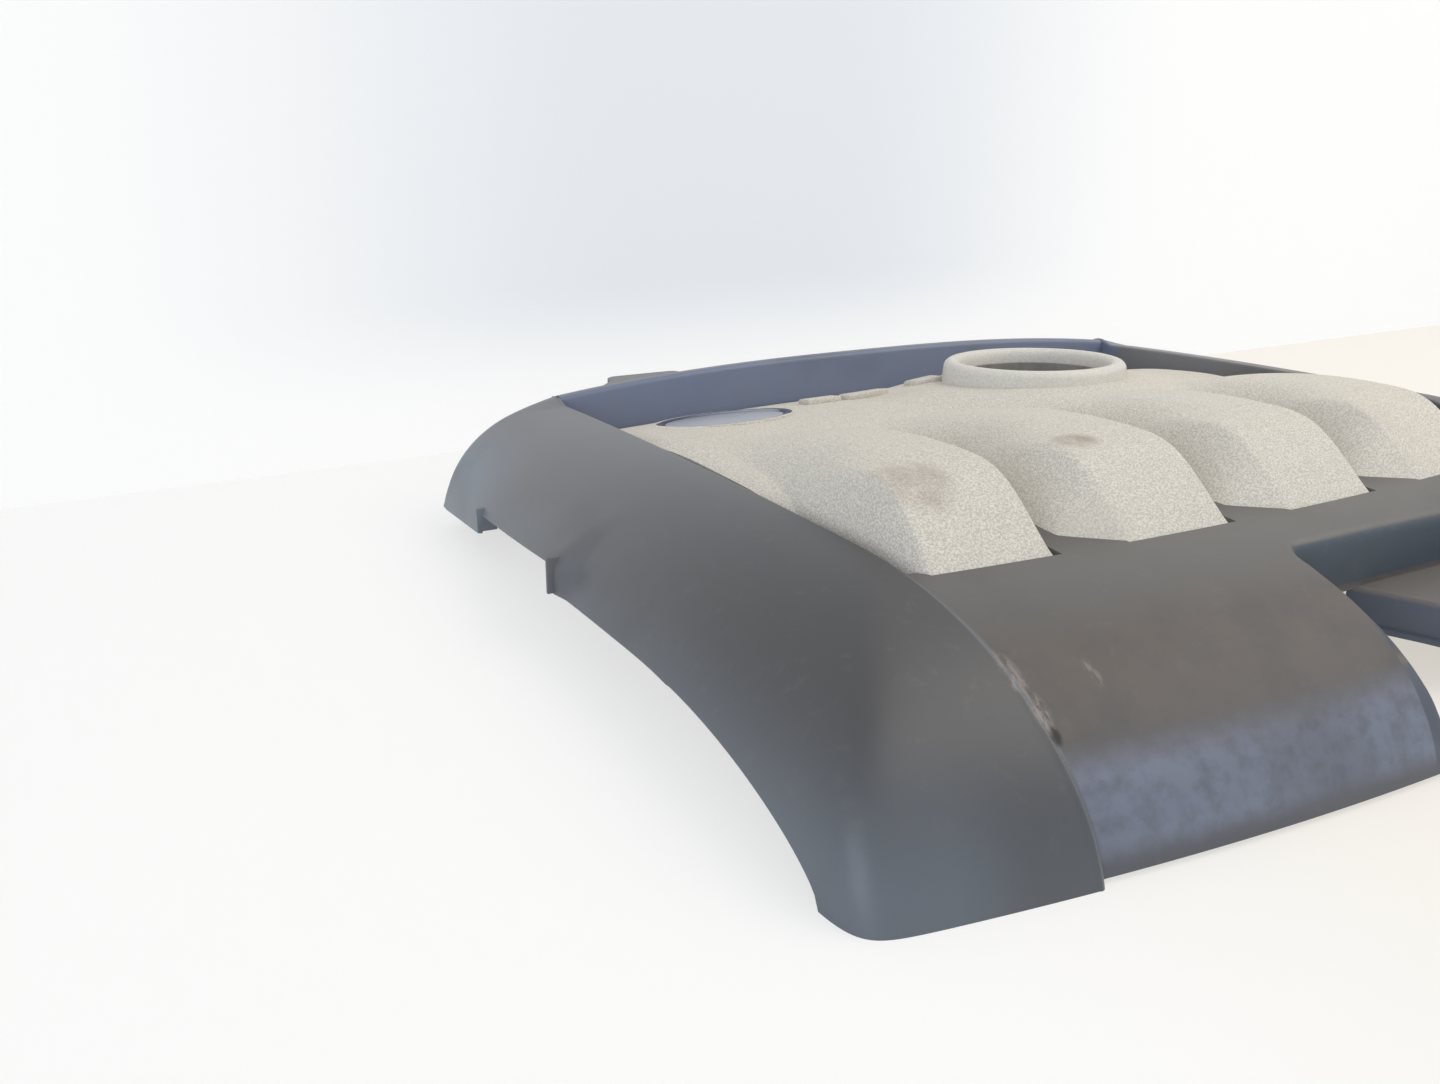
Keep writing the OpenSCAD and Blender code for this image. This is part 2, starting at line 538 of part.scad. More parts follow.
module centre_insert() color("lightgray") {
    difference() {
        moulded_wall(insert_grid(), insert_wall);
        at_filler() translate([0, 0, -collar_height]) cylinder(r = collar_r + 0.4, h = 30);
        at_filler() translate([0, 0, -40]) cylinder(r = collar_r - 1, h = 30);
        at_disc() translate([0, 0, -disc_sink - 5]) cylinder(r = disc_r + disc_gap, h = 20);
    }
    intersection() {
        room_under(insert_grid(), 0.2, 30);
        at_filler() translate([0, 0, -collar_height - insert_wall]) difference() {
            cylinder(r = collar_r + 3, h = 25);
            translate([0, 0, insert_wall]) cylinder(r = collar_r + 0.4, h = 25);
            translate([0, 0, -1]) cylinder(r = filler_r + 3.2, h = 10);
        }
    }
    intersection() {
        room_under(insert_grid(), 0.2, 30);
        at_disc() translate([0, 0, -disc_sink - insert_wall]) difference() {
            cylinder(r = disc_r + disc_gap + insert_wall, h = 20);
            translate([0, 0, insert_wall]) cylinder(r = disc_r + disc_gap, h = 20);
            translate([0, 0, -1]) cylinder(r = 2.2, h = 10);
        }
    }
    for (p = pin_places()) translate([p[0], p[1], p[2] - insert_wall - 5]) hull() {
        cylinder(r = pin_r - 0.4, h = 1, $fn = 12);
        translate([0, 0, 1]) cylinder(r = pin_r, h = 5, $fn = 12);
    }
}

module filler_collar() color("lightgray") at_filler() rotate_extrude() {
    r = collar_rim / 2;
    translate([filler_r + r, -r]) difference() {
        circle(r);
        circle(r - 2.5);
        translate([-r - 1, -2 * r]) square([2 * r + 2, 2 * r]);
    }
    translate([collar_r - 2.5, -collar_height]) square([2.5, collar_height - r]);
    translate([filler_r, -collar_height]) square([2.5, collar_height - r]);
}

module filler_sleeve() color("dimgray") at_filler() difference() {
    rotate_extrude() {
        translate([filler_r - 0.5, -collar_height - 0.3 - sleeve_length]) square([3, sleeve_length]);
        translate([filler_r - 0.5, -collar_height - insert_wall - 2.3]) square([9, 2]);
    }
    for (i = [0:sleeve_segments - 1]) rotate([0, 0, i * 360 / sleeve_segments])
        translate([filler_r - 1, -0.6, -collar_height - 1 - sleeve_length]) cube([1.5, 1.2, sleeve_length + 2]);
}

module blank_disc() color("silver") at_disc() translate([0, 0, -disc_sink]) {
    rotate_extrude() polygon([[0, 0], [disc_r, 0], [disc_r, 2.2], [disc_r - 1, 2.6], [disc_r - 2.4, 2.2],
        [disc_r - 4, 1.6], [0, 2.2]]);
    translate([0, 0, -insert_wall - 2]) cylinder(r = 2, h = insert_wall + 2.1);
}

pad_half = 150;
pad_front = toe_line(0) + 60;
pad_rear = insert_rear_y - 24;
pad_grid = [for (y = spread(pad_front, pad_rear, 9)) [for (x = spread(-pad_half, pad_half, 8))
    [x, y, deck_at(x, y) - insert_wall - 0.4 - 0.3]]];
module foam_pad() color("dimgray") difference() {
    wall_between(pad_grid, [for (row = pad_grid) [for (p = row) p - [0, 0, foam_thickness]]]);
    at_filler() translate([0, 0, -insert_deck_z]) cylinder(r = collar_r + 6, h = 2 * insert_deck_z);
    at_disc() translate([0, 0, -insert_deck_z]) cylinder(r = disc_r + 6, h = 2 * insert_deck_z);
}

// Under the frame's seat flange, which slopes at the sides and is level at the rear
module push_nuts() color("silver") for (p = pin_places()) {
    rear = p[1] > insert_rear_y - flange_w;
    seat = rear ? rim_seat_z(p[0]) : seat_z(p[1]);
    slope = rear ? 0 : atan((seat_z(p[1] + 3) - seat_z(p[1] - 3)) / 6);
    translate([p[0], p[1], seat]) rotate([slope, 0, 0]) translate([0, 0, -wall - 1.1]) difference() {
        cylinder(r = 4.5, h = 0.8);
        translate([0, 0, -1]) cylinder(r = pin_r + 0.3, h = 3);
    }
}

module grommet(i) color("black") translate([stud_at(i)[0], stud_at(i)[1], grommet_z]) rotate_extrude()
    difference() {
        union() {
            translate([grommet_bore_r, 0]) square([grommet_r - grommet_bore_r, grommet_length]);
            translate([grommet_bore_r, -2]) square([grommet_r - grommet_bore_r + 2, 2]);
        }
        translate([grommet_r + 3.2, 6]) circle(3.6);
    }

outer_frame();
centre_insert();
filler_collar();
filler_sleeve();
blank_disc();
foam_pad();
push_nuts();
grommet(0);  // grommet_front_left
grommet(1);  // grommet_front_right
grommet(2);  // grommet_rear_left
grommet(3);  // grommet_rear_right
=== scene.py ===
# Engine cover: a dark moulded outer frame with two wings, a rear rim and a rolled front
# panel, a light grained insert with four humps, a filler collar and its sleeve, a bright
# blank disc, and the foam, spring nuts and rubber grommets that go under it.
import math

import bpy
from mathutils import Matrix, Vector


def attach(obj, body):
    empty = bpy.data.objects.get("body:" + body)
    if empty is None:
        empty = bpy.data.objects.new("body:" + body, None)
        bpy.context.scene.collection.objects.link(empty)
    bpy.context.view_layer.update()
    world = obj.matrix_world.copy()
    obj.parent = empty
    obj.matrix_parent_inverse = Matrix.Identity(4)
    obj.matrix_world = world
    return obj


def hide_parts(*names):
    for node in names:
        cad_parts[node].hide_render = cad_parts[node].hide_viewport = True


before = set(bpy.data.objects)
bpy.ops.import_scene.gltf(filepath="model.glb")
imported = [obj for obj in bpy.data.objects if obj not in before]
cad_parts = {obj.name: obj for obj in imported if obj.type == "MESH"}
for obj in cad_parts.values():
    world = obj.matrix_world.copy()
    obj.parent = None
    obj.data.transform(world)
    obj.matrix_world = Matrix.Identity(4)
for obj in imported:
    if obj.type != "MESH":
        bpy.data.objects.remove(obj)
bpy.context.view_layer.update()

# Camera: it stands at the cover's front left corner, a hand's width above its humps, and
# looks across it to the rear right.
camera = bpy.data.objects.new("camera", bpy.data.cameras.new("camera"))
bpy.context.collection.objects.link(camera)
camera.data.lens = 28.76
camera.data.sensor_width = 36
camera.data.clip_start = 0.01
camera_place = Vector((-0.446974, -0.455197, 0.253950))
camera_right = Vector((0.89020133, -0.45517077, 0.01900426))
camera_up = Vector((0.15348878, 0.33894033, 0.92820291))
camera_forward = Vector((0.42893215, 0.82337053, -0.37158874))
camera.matrix_world = Matrix.Translation(camera_place) @ Matrix(
    (camera_right, camera_up, -camera_forward)).transposed().to_4x4()
bpy.context.scene.camera = camera


# Outer frame, wings: two injection moulded wings of dark matte plastic, 2.6 mm thick. Each
# falls from a crisp ridge beside the insert to the side edge, and rolls down at the front.
# Sizes are in millimetres, and depths are measured back from the middle of the front edge.
SIDE_HALF, SIDE_SLOPE, SIDE_BOW = 294.5, math.tan(math.radians(3)), 3.5
RIDGE_HALF, RIDGE_SLOPE = 220.0, math.tan(math.radians(5.5))
RIDGE_TOP, RIDGE_PEAK, RIDGE_FALL, RIDGE_STEP = 77.8, 170.0, 7.4, 3.6
ROLL_LENGTH, ROLL_DROP = 137.0, 17.0
FRONT_Y, RIM_DEPTH, SKIRT_DEPTH, FRONT_RADIUS = -242.99384, 438.0, 455.0, 1667.0
RIM_Y, REAR_Y = FRONT_Y + RIM_DEPTH, FRONT_Y + SKIRT_DEPTH
ARCH_HEIGHT, ARCH_PEAK, ARCH_FRONT, ARCH_REAR = 30.0, 167.0, 124.0, 12.0
HOOD_FRONT, HOOD_LENGTH, LIP_FRONT, LIP_REAR, HOOD_OUT, HOOD_BAND = 267.0, 111.0, 41.0, 28.0, 9.0, 26.0
WALL, FLANGE = 2.6, 13.0
PANEL_TOP, PANEL_LIFT = 74.6, 4.0
INSERT_REAR_Y = RIM_Y - 6
RIM_JOIN, LIFT_LEAST, LIFT_SLOPE, LIFT_FRONT_Y = 3.4, 2.0, 0.066, -72.0
HOOD_Y = FRONT_Y + HOOD_FRONT
HOOD_END_Y = HOOD_Y + HOOD_LENGTH


def mix(a, b, t):
    return a + (b - a) * t


def clamp(t):
    return max(0.0, min(1.0, t))


def smooth(t):
    c = clamp(t)
    return c * c * (3 - 2 * c)


def spread(start, end, count):
    return [mix(start, end, i / count) for i in range(count + 1)]


def sheet(name, columns, rows, place):
    """A grid primitive whose points are moved to place(column, row), given in millimetres."""
    bpy.ops.object.select_all(action="DESELECT")
    bpy.ops.mesh.primitive_grid_add(x_subdivisions=len(columns) - 1,
                                    y_subdivisions=len(rows) - 1, size=2)
    piece = bpy.context.object
    piece.name = piece.data.name = name
    labels = []
    for vertex in piece.data.vertices:
        u = columns[round((vertex.co.x + 1) / 2 * (len(columns) - 1))]
        v = rows[round((vertex.co.y + 1) / 2 * (len(rows) - 1))]
        vertex.co = [0.001 * value for value in place(u, v)]
        labels.append((u, v))
    return piece, labels


def edit(piece, points=None, faces=None, edges=None):
    """Opens edit mode on one piece with the named points, edges or faces selected."""
    bpy.ops.object.select_all(action="DESELECT")
    piece.select_set(True)
    bpy.context.view_layer.objects.active = piece
    bpy.ops.object.mode_set(mode="EDIT")
    kind = "VERT" if points is not None else "EDGE" if edges is not None else "FACE"
    bpy.ops.mesh.select_mode(type=kind)
    bpy.ops.mesh.select_all(action="DESELECT" if (points or faces or edges) else "SELECT")
    bpy.ops.object.mode_set(mode="OBJECT")
    for chosen, group in ((points, piece.data.vertices), (edges, piece.data.edges),
                          (faces, piece.data.polygons)):
        for index in chosen or []:
            group[index].select = True
    bpy.ops.object.mode_set(mode="EDIT")


def done():
    bpy.ops.object.mode_set(mode="OBJECT")


def cut_away(piece, faces):
    edit(piece, faces=faces)
    bpy.ops.mesh.delete(type="FACE")
    done()


def modify(piece, kind, **settings):
    modifier = piece.modifiers.new(kind, kind)
    for key, value in settings.items():
        setattr(modifier, key, value)
    bpy.context.view_layer.objects.active = piece
    bpy.ops.object.modifier_apply(modifier=modifier.name)


def join(piece, *others):
    bpy.ops.object.select_all(action="DESELECT")
    for other in others:
        other.select_set(True)
    piece.select_set(True)
    bpy.context.view_layer.objects.active = piece
    bpy.ops.object.join()
    return piece


def merge(piece, distance=0.00002):
    edit(piece)
    bpy.ops.mesh.remove_doubles(threshold=distance)
    done()


def soften(piece, angle=30):
    bpy.ops.object.select_all(action="DESELECT")
    piece.select_set(True)
    bpy.context.view_layer.objects.active = piece
    bpy.ops.object.shade_smooth_by_angle(angle=math.radians(angle))


def front_line(x):
    return FRONT_Y + x * x / (2 * FRONT_RADIUS)


def ridge_x(y):
    return RIDGE_HALF - (RIM_Y - y) * RIDGE_SLOPE


def side_x(y):
    t = clamp((RIM_Y - y) / (RIM_DEPTH - 26))
    return SIDE_HALF - (RIM_Y - y) * SIDE_SLOPE + SIDE_BOW * 4 * t * (1 - t)


def ridge_z(y):
    peak = FRONT_Y + RIDGE_PEAK
    return RIDGE_TOP - RIDGE_FALL * ((y - peak) / (RIM_Y - peak)) ** 2


def arch_z(y):
    d = y - FRONT_Y - ARCH_PEAK
    if d > 0:
        return ARCH_HEIGHT - (ARCH_HEIGHT - ARCH_REAR) * (d / (RIM_DEPTH - ARCH_PEAK)) ** 1.6
    return ARCH_HEIGHT * math.sqrt(max(0, 1 - (d / ARCH_FRONT) ** 2))


def lip_z(y):
    return mix(LIP_FRONT, LIP_REAR, (y - HOOD_Y) / HOOD_LENGTH)


def edge_e(top, edge, drop, power):
    """Share of the turn at which a curve that falls from top reaches the height edge."""
    return math.sqrt(max(0, 1 - ((edge + drop) / (top + drop)) ** (1 / power)))


SIDE_POWER, FRONT_POWER, CORNER_LOW, CORNER_HIGH = 0.44, 0.5, 14.0, 6.0
ROLL_E = edge_e(RIDGE_TOP, 0, ROLL_DROP, FRONT_POWER)
ROLL_RIDGE_X = ridge_x(FRONT_Y + ROLL_LENGTH)
ROLL_FLAT_Y = front_line(ROLL_RIDGE_X) + ROLL_LENGTH * ROLL_E


def hood_shift(y, z):
    """How far the left wing bulges out over the hand hold."""
    t = clamp((y - HOOD_Y) / HOOD_LENGTH)
    reach = HOOD_OUT * smooth((y - HOOD_Y + 14) / 14) * (1 - t)
    band = mix(HOOD_BAND, 5, t)
    return reach * smooth((lip_z(y) + band - z) / band) * (1 - 0.8 * clamp((lip_z(y) - z) / 14))


def ridge_lift(y, hood):
    """How far the right ridge climbs beside the fourth hump, and the left one doesn't."""
    if hood:
        return 0
    lift = LIFT_LEAST + LIFT_SLOPE * max(0, RIM_Y - 14 - y)
    return lift * (1 - smooth((LIFT_FRONT_Y - y) / 80)) * smooth((RIM_Y + 20 - y) / 40)


def wing_point(a, b, y_flat, hood):
    """A point of a wing: a runs from its ridge to its side edge, b down its front roll."""
    m = max(a, b)
    k = mix(CORNER_HIGH, CORNER_LOW, m ** 3)
    q = (a ** k + b ** k) ** (1 / k) if m > 0 else 1
    ao, bo = (a / q, b / q) if m > 0 else (0, 0)
    f = bo ** k
    lift = ridge_lift(y_flat - ROLL_LENGTH * ROLL_E * b, hood)
    top, drop, power = ridge_z(y_flat) + lift, ROLL_DROP * f, mix(SIDE_POWER, FRONT_POWER, f)
    corner_y = front_line(side_x(FRONT_Y)) + ROLL_LENGTH * (ROLL_E - bo)
    edge = (1 - f) * arch_z(corner_y if b > 0 else y_flat)
    e = m * edge_e(top, edge, drop, power)
    x0 = mix(ridge_x(y_flat), side_x(y_flat), e * ao)
    follow = clamp(1 - (y_flat - ROLL_FLAT_Y) / 60)
    y = y_flat + follow * (front_line(x0) - front_line(ridge_x(y_flat))) - ROLL_LENGTH * e * bo
    x = mix(ridge_x(y), side_x(y), e * ao)
    z = (ridge_z(y) + lift + drop) * (1 - e * e) ** power - drop
    z += RIM_JOIN * smooth((y - RIM_Y + 10) / 10) * max(0, 1 - e / 0.4) ** 2
    return Vector((x + (hood_shift(y, z) if hood else 0), y, z))


def bezier(points, t):
    a, b, c, d = points
    return [(1 - t) ** 3 * p + 3 * (1 - t) ** 2 * t * q + 3 * (1 - t) * t * t * r + t ** 3 * s
            for p, q, r, s in zip(a, b, c, d)]


# The insert's deck, whose height the seat inside each ridge follows
INSERT_WALL, INSERT_GAP, INSERT_REAR_Z, INSERT_DECK_Z = 2.5, 0.8, 56.0, 79.0
DECK_RISE, DECK_CROWN = 145.0, 4.8
PANEL_UNDER = PANEL_TOP - WALL - 0.5
SEAT_DROP = INSERT_WALL + 0.9
RIDGE_DEPTH = RIDGE_STEP + WALL * 0.7


def insert_edge_x(y):
    return ridge_x(y) - INSERT_GAP - 1.2


def deck_at(x, y):
    s = clamp((INSERT_REAR_Y - y) / DECK_RISE)
    front = INSERT_REAR_Y - DECK_RISE - 40
    z = mix(INSERT_REAR_Z, INSERT_DECK_Z, 1 - (1 - s) ** 2)
    z -= (INSERT_DECK_Z - PANEL_UNDER) * smooth((front - y) / 95)
    edge = insert_edge_x(y) - abs(x)
    return z - DECK_CROWN * (x / 185) ** 2 * (1 - s) - 3 * (1 - smooth(edge / 9))


def seat_z(y):
    return min(deck_at(insert_edge_x(y), y) - SEAT_DROP, ridge_z(y) - RIDGE_DEPTH)


# A wing's columns are numbered: the hand hold's lip is number 34. The two codes stand for
# the flange under the insert's edge and for the foot of the ridge's inner wall.
RIDGE_ROUND, LIP_COLUMN, EDGE_COLUMN = 1.9, 34, 46
FLANGE_CODE, FOOT_CODE = -3, -2


def lip_share(y):
    """Share of the wing's width, from ridge to side edge, at which the hood's lip lies."""
    inside = min(max(y, HOOD_Y), HOOD_END_Y)
    top = ridge_z(inside)
    share = (edge_e(top, lip_z(inside), 0, SIDE_POWER)
             / edge_e(top, arch_z(inside), 0, SIDE_POWER))
    return mix(0.9, share, smooth((y - HOOD_Y + 80) / 75))


def wing_place(u, v, hood):
    """u: flange, foot, ridge round (-1..0) or column number; v: ("roll", b) or ("flat", y)."""
    b, y = (v[1], ROLL_FLAT_Y) if v[0] == "roll" else (0, v[1])
    if u > 0:
        lip = lip_share(y)
        t = (u - 1) / (LIP_COLUMN - 1)
        a = mix(0.03, lip, t) if t <= 1 else mix(lip, 1, (u - LIP_COLUMN) / (EDGE_COLUMN - LIP_COLUMN))
        return wing_point(a, b, y, hood)
    crest = wing_point(0, b, y, hood)
    z = crest.z - RIDGE_DEPTH * (1 - 0.6 * b) - ridge_lift(crest.y, hood)
    foot = Vector((crest.x - 1.2, crest.y + RIDGE_DEPTH * 0.7 * b, min(z, seat_z(crest.y)) if b < 0.4 else z))
    if u == FLANGE_CODE:
        return foot - Vector((FLANGE * (1 - b) + 2 * b, 0, 0))
    if u == FOOT_CODE:
        return foot
    outer = Vector((crest.x + RIDGE_ROUND, crest.y, crest.z - 0.02))
    inner = crest + (foot - crest).normalized() * RIDGE_ROUND
    t = -u
    return outer * (1 - t) ** 2 + crest * (2 * t * (1 - t)) + inner * t * t


wing_columns = [FLANGE_CODE, FOOT_CODE, -1, -0.8, -0.6, -0.4, -0.2, 0] + list(range(1, EDGE_COLUMN + 1))
roll_shares = [1 - (1 - t) ** 1.35 for t in spread(1, 0, 46)][:-1]
wing_rows = [("roll", b) for b in roll_shares]
flat_rows = (spread(ROLL_FLAT_Y, HOOD_Y - 16, 24) + spread(HOOD_Y - 14, HOOD_Y, 9)
             + spread(HOOD_Y + 4, HOOD_END_Y, 24) + spread(HOOD_END_Y + 4, RIM_Y, 12))
wing_rows += [("flat", y) for y in flat_rows]


def skirt_bottom(x):
    x = abs(x)
    if x < 80:
        return 26 * math.sqrt(1 - (x / 80) ** 2)
    return 0 if x < RIDGE_HALF - 15 else ARCH_REAR * smooth((x - RIDGE_HALF + 15) / 80)


def skirt_point(x, z, s):
    """Profile of the rear skirt: s runs round the turn from 0 to 1, and 2 is its bottom."""
    low = skirt_bottom(x)
    turn = min(9, (z - low) * 0.6)
    y = REAR_Y - 10 * min(1, abs(x) / SIDE_HALF) ** 6
    if s > 1:
        return Vector((x, y, mix(z - turn, low, s - 1)))
    angle = math.radians(90 * s)
    return Vector((x, mix(RIM_Y + 2, y, math.sin(angle)), z - turn * (1 - math.cos(angle))))


skirt_rows = [-1, 0, 0.12, 0.25, 0.4, 0.55, 0.7, 0.85, 1, 1.25, 1.5, 1.75, 2]


def make_wing(name, hood):
    side = -1 if hood else 1
    columns = wing_columns[::side]

    def place(u, v):
        x, y, z = wing_place(u, v, hood)
        return side * x, y, z

    def rear_place(u, v):
        p = wing_place(u, ("flat", RIM_Y), hood)
        x, y, z = p if v < 0 else skirt_point(p.x, p.z, v)
        return side * x, y, z

    wing, labels = sheet(name, columns, wing_rows, place)
    if hood:
        inside = [v[0] == "flat" and HOOD_Y - 0.01 <= v[1] <= HOOD_END_Y + 0.01 and u >= LIP_COLUMN
                  for u, v in labels]
        cut_away(wing, [f.index for f in wing.data.polygons if all(inside[i] for i in f.vertices)])
    skirt, _ = sheet(name + "_skirt", [u for u in columns if u >= 0], skirt_rows, rear_place)
    wing = join(wing, skirt)
    merge(wing)
    return wing


left_wing = make_wing("left_wing", True)
right_wing = make_wing("right_wing", False)

# Outer frame, rear rim: a tall inner face that rises from the insert's rear edge to a
# rounded crest, and a skirt that turns down behind it. It is moulded with the wings.
RIM_CROWN = 10.3


def rim_z(x):
    return ridge_z(RIM_Y) + RIM_JOIN + RIM_CROWN * max(0, 1 - abs(x / RIDGE_HALF) ** 2.6)


def rim_place(x, v):
    seat = deck_at(x, INSERT_REAR_Y) - SEAT_DROP - 0.4
    z = rim_z(x)
    if v == FLANGE_CODE:
        return x, INSERT_REAR_Y - FLANGE, seat
    if v == FOOT_CODE:
        return x, INSERT_REAR_Y + INSERT_GAP, seat
    if v < 0:
        t = 1 + v
        low, crest = Vector((x, INSERT_REAR_Y + INSERT_GAP, seat)), Vector((x, RIM_Y - 1, z))
        back = Vector((x, RIM_Y + 2, z))
        start = crest + (low - crest).normalized() * 3
        if v < -1:
            return low.lerp(start, 2 + v)
        return start * (1 - t) ** 2 + crest * (2 * t * (1 - t)) + back * t * t
    return skirt_point(x, z, v)


rim_rows = [FLANGE_CODE, FOOT_CODE, -1.8, -1.6, -1.4, -1.2, -1, -0.8, -0.6, -0.4, -0.2] + skirt_rows[1:]
rim, _ = sheet("rear_rim", spread(-RIDGE_HALF, RIDGE_HALF, 88), rim_rows, rim_place)

# Outer frame, front panel: the flat shelf that the humps stand in and its long roll down
# to the front edge, with openings for the humps and the large front cut-out.
PANEL_BACK = 0.8 * RIDGE_STEP
PANEL_EDGE = edge_e(RIDGE_TOP, PANEL_LIFT, ROLL_DROP, FRONT_POWER) / ROLL_E
PANEL_REAR, TOE_DEPTH = 150.0, 112.4
HUMP_PITCH, HUMP_WIDTH, HUMP_TOP, HUMP_LENGTH, HUMP_FOOT = 100.0, 58.0, 103.2, 187.0, 4.0
FLARE_FRONT, FLARE_BACK = 30.0, 6.0
HUMP_XS = [HUMP_PITCH * (k - 1.5) for k in range(4)]
toe_curve = [(0, PANEL_TOP - 0.2), (28, 98), (36, HUMP_TOP), (54, HUMP_TOP)]
back_curve = [(54, HUMP_TOP), (95, HUMP_TOP), (140, 96), (HUMP_LENGTH, INSERT_DECK_Z)]
hump_line = ([bezier(toe_curve, t) for t in spread(0, 1, 26)]
             + [bezier(back_curve, t) for t in spread(0, 1, 34)][1:])


def hump_height(v):
    """Height of a hump's crest at depth v behind its toe."""
    if v <= 0:
        return PANEL_TOP - 0.2 + v * 0.86
    for (v0, z0), (v1, z1) in zip(hump_line, hump_line[1:]):
        if v <= v1:
            return mix(z0, z1, (v - v0) / (v1 - v0))
    return INSERT_DECK_Z


def flare(v, height):
    """Width of a hump's left flank at depth v behind its toe."""
    return min(height / 0.57, mix(FLARE_FRONT, FLARE_BACK, smooth(v / 130)))


def toe_line(x):
    return FRONT_Y + TOE_DEPTH + x * x / (2 * FRONT_RADIUS) * 0.8


roll_table = []
for b in spread(0, 1.02, 240):
    e = min(b * ROLL_E, 0.9999)
    step = RIDGE_STEP * 0.42 * smooth(b / 0.25)
    z = (ridge_z(ROLL_FLAT_Y) + ROLL_DROP) * math.sqrt(1 - e * e) - ROLL_DROP - step
    roll_table.append((PANEL_BACK * b ** 3 + ROLL_LENGTH * (ROLL_E - e), z, b))
roll_table.reverse()


def panel_z(x, y):
    """Height of the panel: the roll, eased into the flat shelf within 1.2 mm of its top."""
    back = y - front_line(x)
    for (s0, z0, _), (s1, z1, _) in zip(roll_table, roll_table[1:]):
        if back <= s1:
            z = mix(z0, z1, (back - s0) / (s1 - s0))
            over = z - PANEL_TOP
            return PANEL_TOP if over > 1.2 else z if over < -1.2 else z - (over + 1.2) ** 2 / 4.8
    return PANEL_TOP


def panel_edges(back, y):
    """Places across the panel: its two ends, and both edges of each hump's opening."""
    half = ridge_x(y) + 0.3
    v = max(0, back - TOE_DEPTH)
    top = hump_height(v)
    places = [-half]
    for x in HUMP_XS:
        out = flare(v, top - PANEL_UNDER) * (top - PANEL_TOP) / (top - PANEL_UNDER)
        places += [x - HUMP_WIDTH / 2 - max(0, out) - INSERT_GAP, x + HUMP_WIDTH / 2 + HUMP_FOOT + INSERT_GAP]
    places[1] = max(places[1], -half + 0.9)
    places[-1] = min(places[-1], half - 0.9)
    return places + [half]


BAND = 18
panel_columns = list(range(9 * BAND + 1))


def panel_place(column, back):
    bow = mix(1, 0.8, smooth((back - 70) / 42)) / (2 * FRONT_RADIUS)
    y0 = FRONT_Y + back
    even = (2 * column / (9 * BAND) - 1) * (ridge_x(y0 + 10) + 0.3)
    y = y0 + bow * even * even
    half = ridge_x(y) + 0.3
    even = (2 * column / (9 * BAND) - 1) * half
    places = panel_edges(back, y)
    band = min(8, column // BAND)
    fitted = mix(places[band], places[band + 1], column / BAND - band)
    x = mix(even, fitted, smooth((back - 88) / 20))
    y = y0 + bow * x * x
    return x, y, panel_z(x, y)


roll_angles = spread(math.asin(PANEL_EDGE * ROLL_E), math.asin(0.3), 44)
panel_backs = [PANEL_BACK * (math.sin(t) / ROLL_E) ** 3 + ROLL_LENGTH * (ROLL_E - math.sin(t))
               for t in roll_angles]
panel_backs += spread(panel_backs[-1] + 2, TOE_DEPTH - INSERT_GAP, 8)
panel_backs += spread(TOE_DEPTH + 1, PANEL_REAR, 16)
panel, panel_labels = sheet("front_panel", panel_columns, panel_backs, panel_place)


def opened(f):
    """Whether a face of the panel lies in a hump's opening or behind the first one's side."""
    labels = [panel_labels[i] for i in f.vertices]
    if min(label[1] for label in labels) < TOE_DEPTH - INSERT_GAP - 0.01:
        return False
    middle = sum(label[0] for label in labels) / 4
    return int(middle // BAND) % 2 == 1 or middle < BAND and min(label[1] for label in labels) > TOE_DEPTH + 2


# The cut-out's edge: its left side sweeps back, its rear corners are rounded
CUT_LEFT, CUT_BACK, CUT_RIGHT, CUT_ROUND, CUT_LIP, DECK_LOW = -12.0, 86.0, 150.0, 7.0, 10.0, 42.0
CUT_FRONT, SNAP_REACH, LIP_LOWEST = -20.0, 4.4, 4.2
cut_side = [(CUT_LEFT, CUT_BACK), (-10.6, 70), (-7.8, 52), (-4.0, 35), (-0.6, 20), (0.8, 5), (1, CUT_FRONT)]


def cut_left_x(back):
    for (x0, b0), (x1, b1) in zip(cut_side, cut_side[1:]):
        if back >= b1:
            return mix(x0, x1, clamp((back - b0) / (b1 - b0)))
    return cut_side[-1][0]


corner_angles = spread(0.05, math.pi / 2, 16)
cut_edge = [(cut_left_x(b), b) for b in spread(CUT_FRONT, CUT_BACK - CUT_ROUND, 90)]
cut_edge += [(CUT_LEFT + CUT_ROUND * (1 - math.cos(t)), CUT_BACK - CUT_ROUND * (1 - math.sin(t)))
             for t in corner_angles]
cut_edge += [(x, CUT_BACK) for x in spread(CUT_LEFT + CUT_ROUND + 1, CUT_RIGHT - CUT_ROUND, 110)]
cut_edge += [(CUT_RIGHT - CUT_ROUND * (1 - math.sin(t)), CUT_BACK - CUT_ROUND * (1 - math.cos(t)))
             for t in corner_angles]
cut_edge += [(CUT_RIGHT, b) for b in spread(CUT_BACK - CUT_ROUND - 1, CUT_FRONT, 90)]
cut_edge = [Vector((x, FRONT_Y + b)) for x, b in cut_edge]

# Each place on the edge has its direction into the cut-out and the radius of its turn
cut_marks = []
for i, p in enumerate(cut_edge):
    along = cut_edge[min(i + 2, len(cut_edge) - 1)] - cut_edge[max(i - 2, 0)]
    inward = Vector((along.y, -along.x)).normalized()
    cut_marks.append((p, inward, 2.4 + 4.6 * inward.y ** 2))
cut_shoulder = [p - n * r for p, n, r in cut_marks]


def inside_cut(x, y):
    inside = False
    for p, q in zip(cut_shoulder, cut_shoulder[1:] + cut_shoulder[:1]):
        if (p.y > y) != (q.y > y) and x < p.x + (q.x - p.x) * (y - p.y) / (q.y - p.y):
            inside = not inside
    return inside


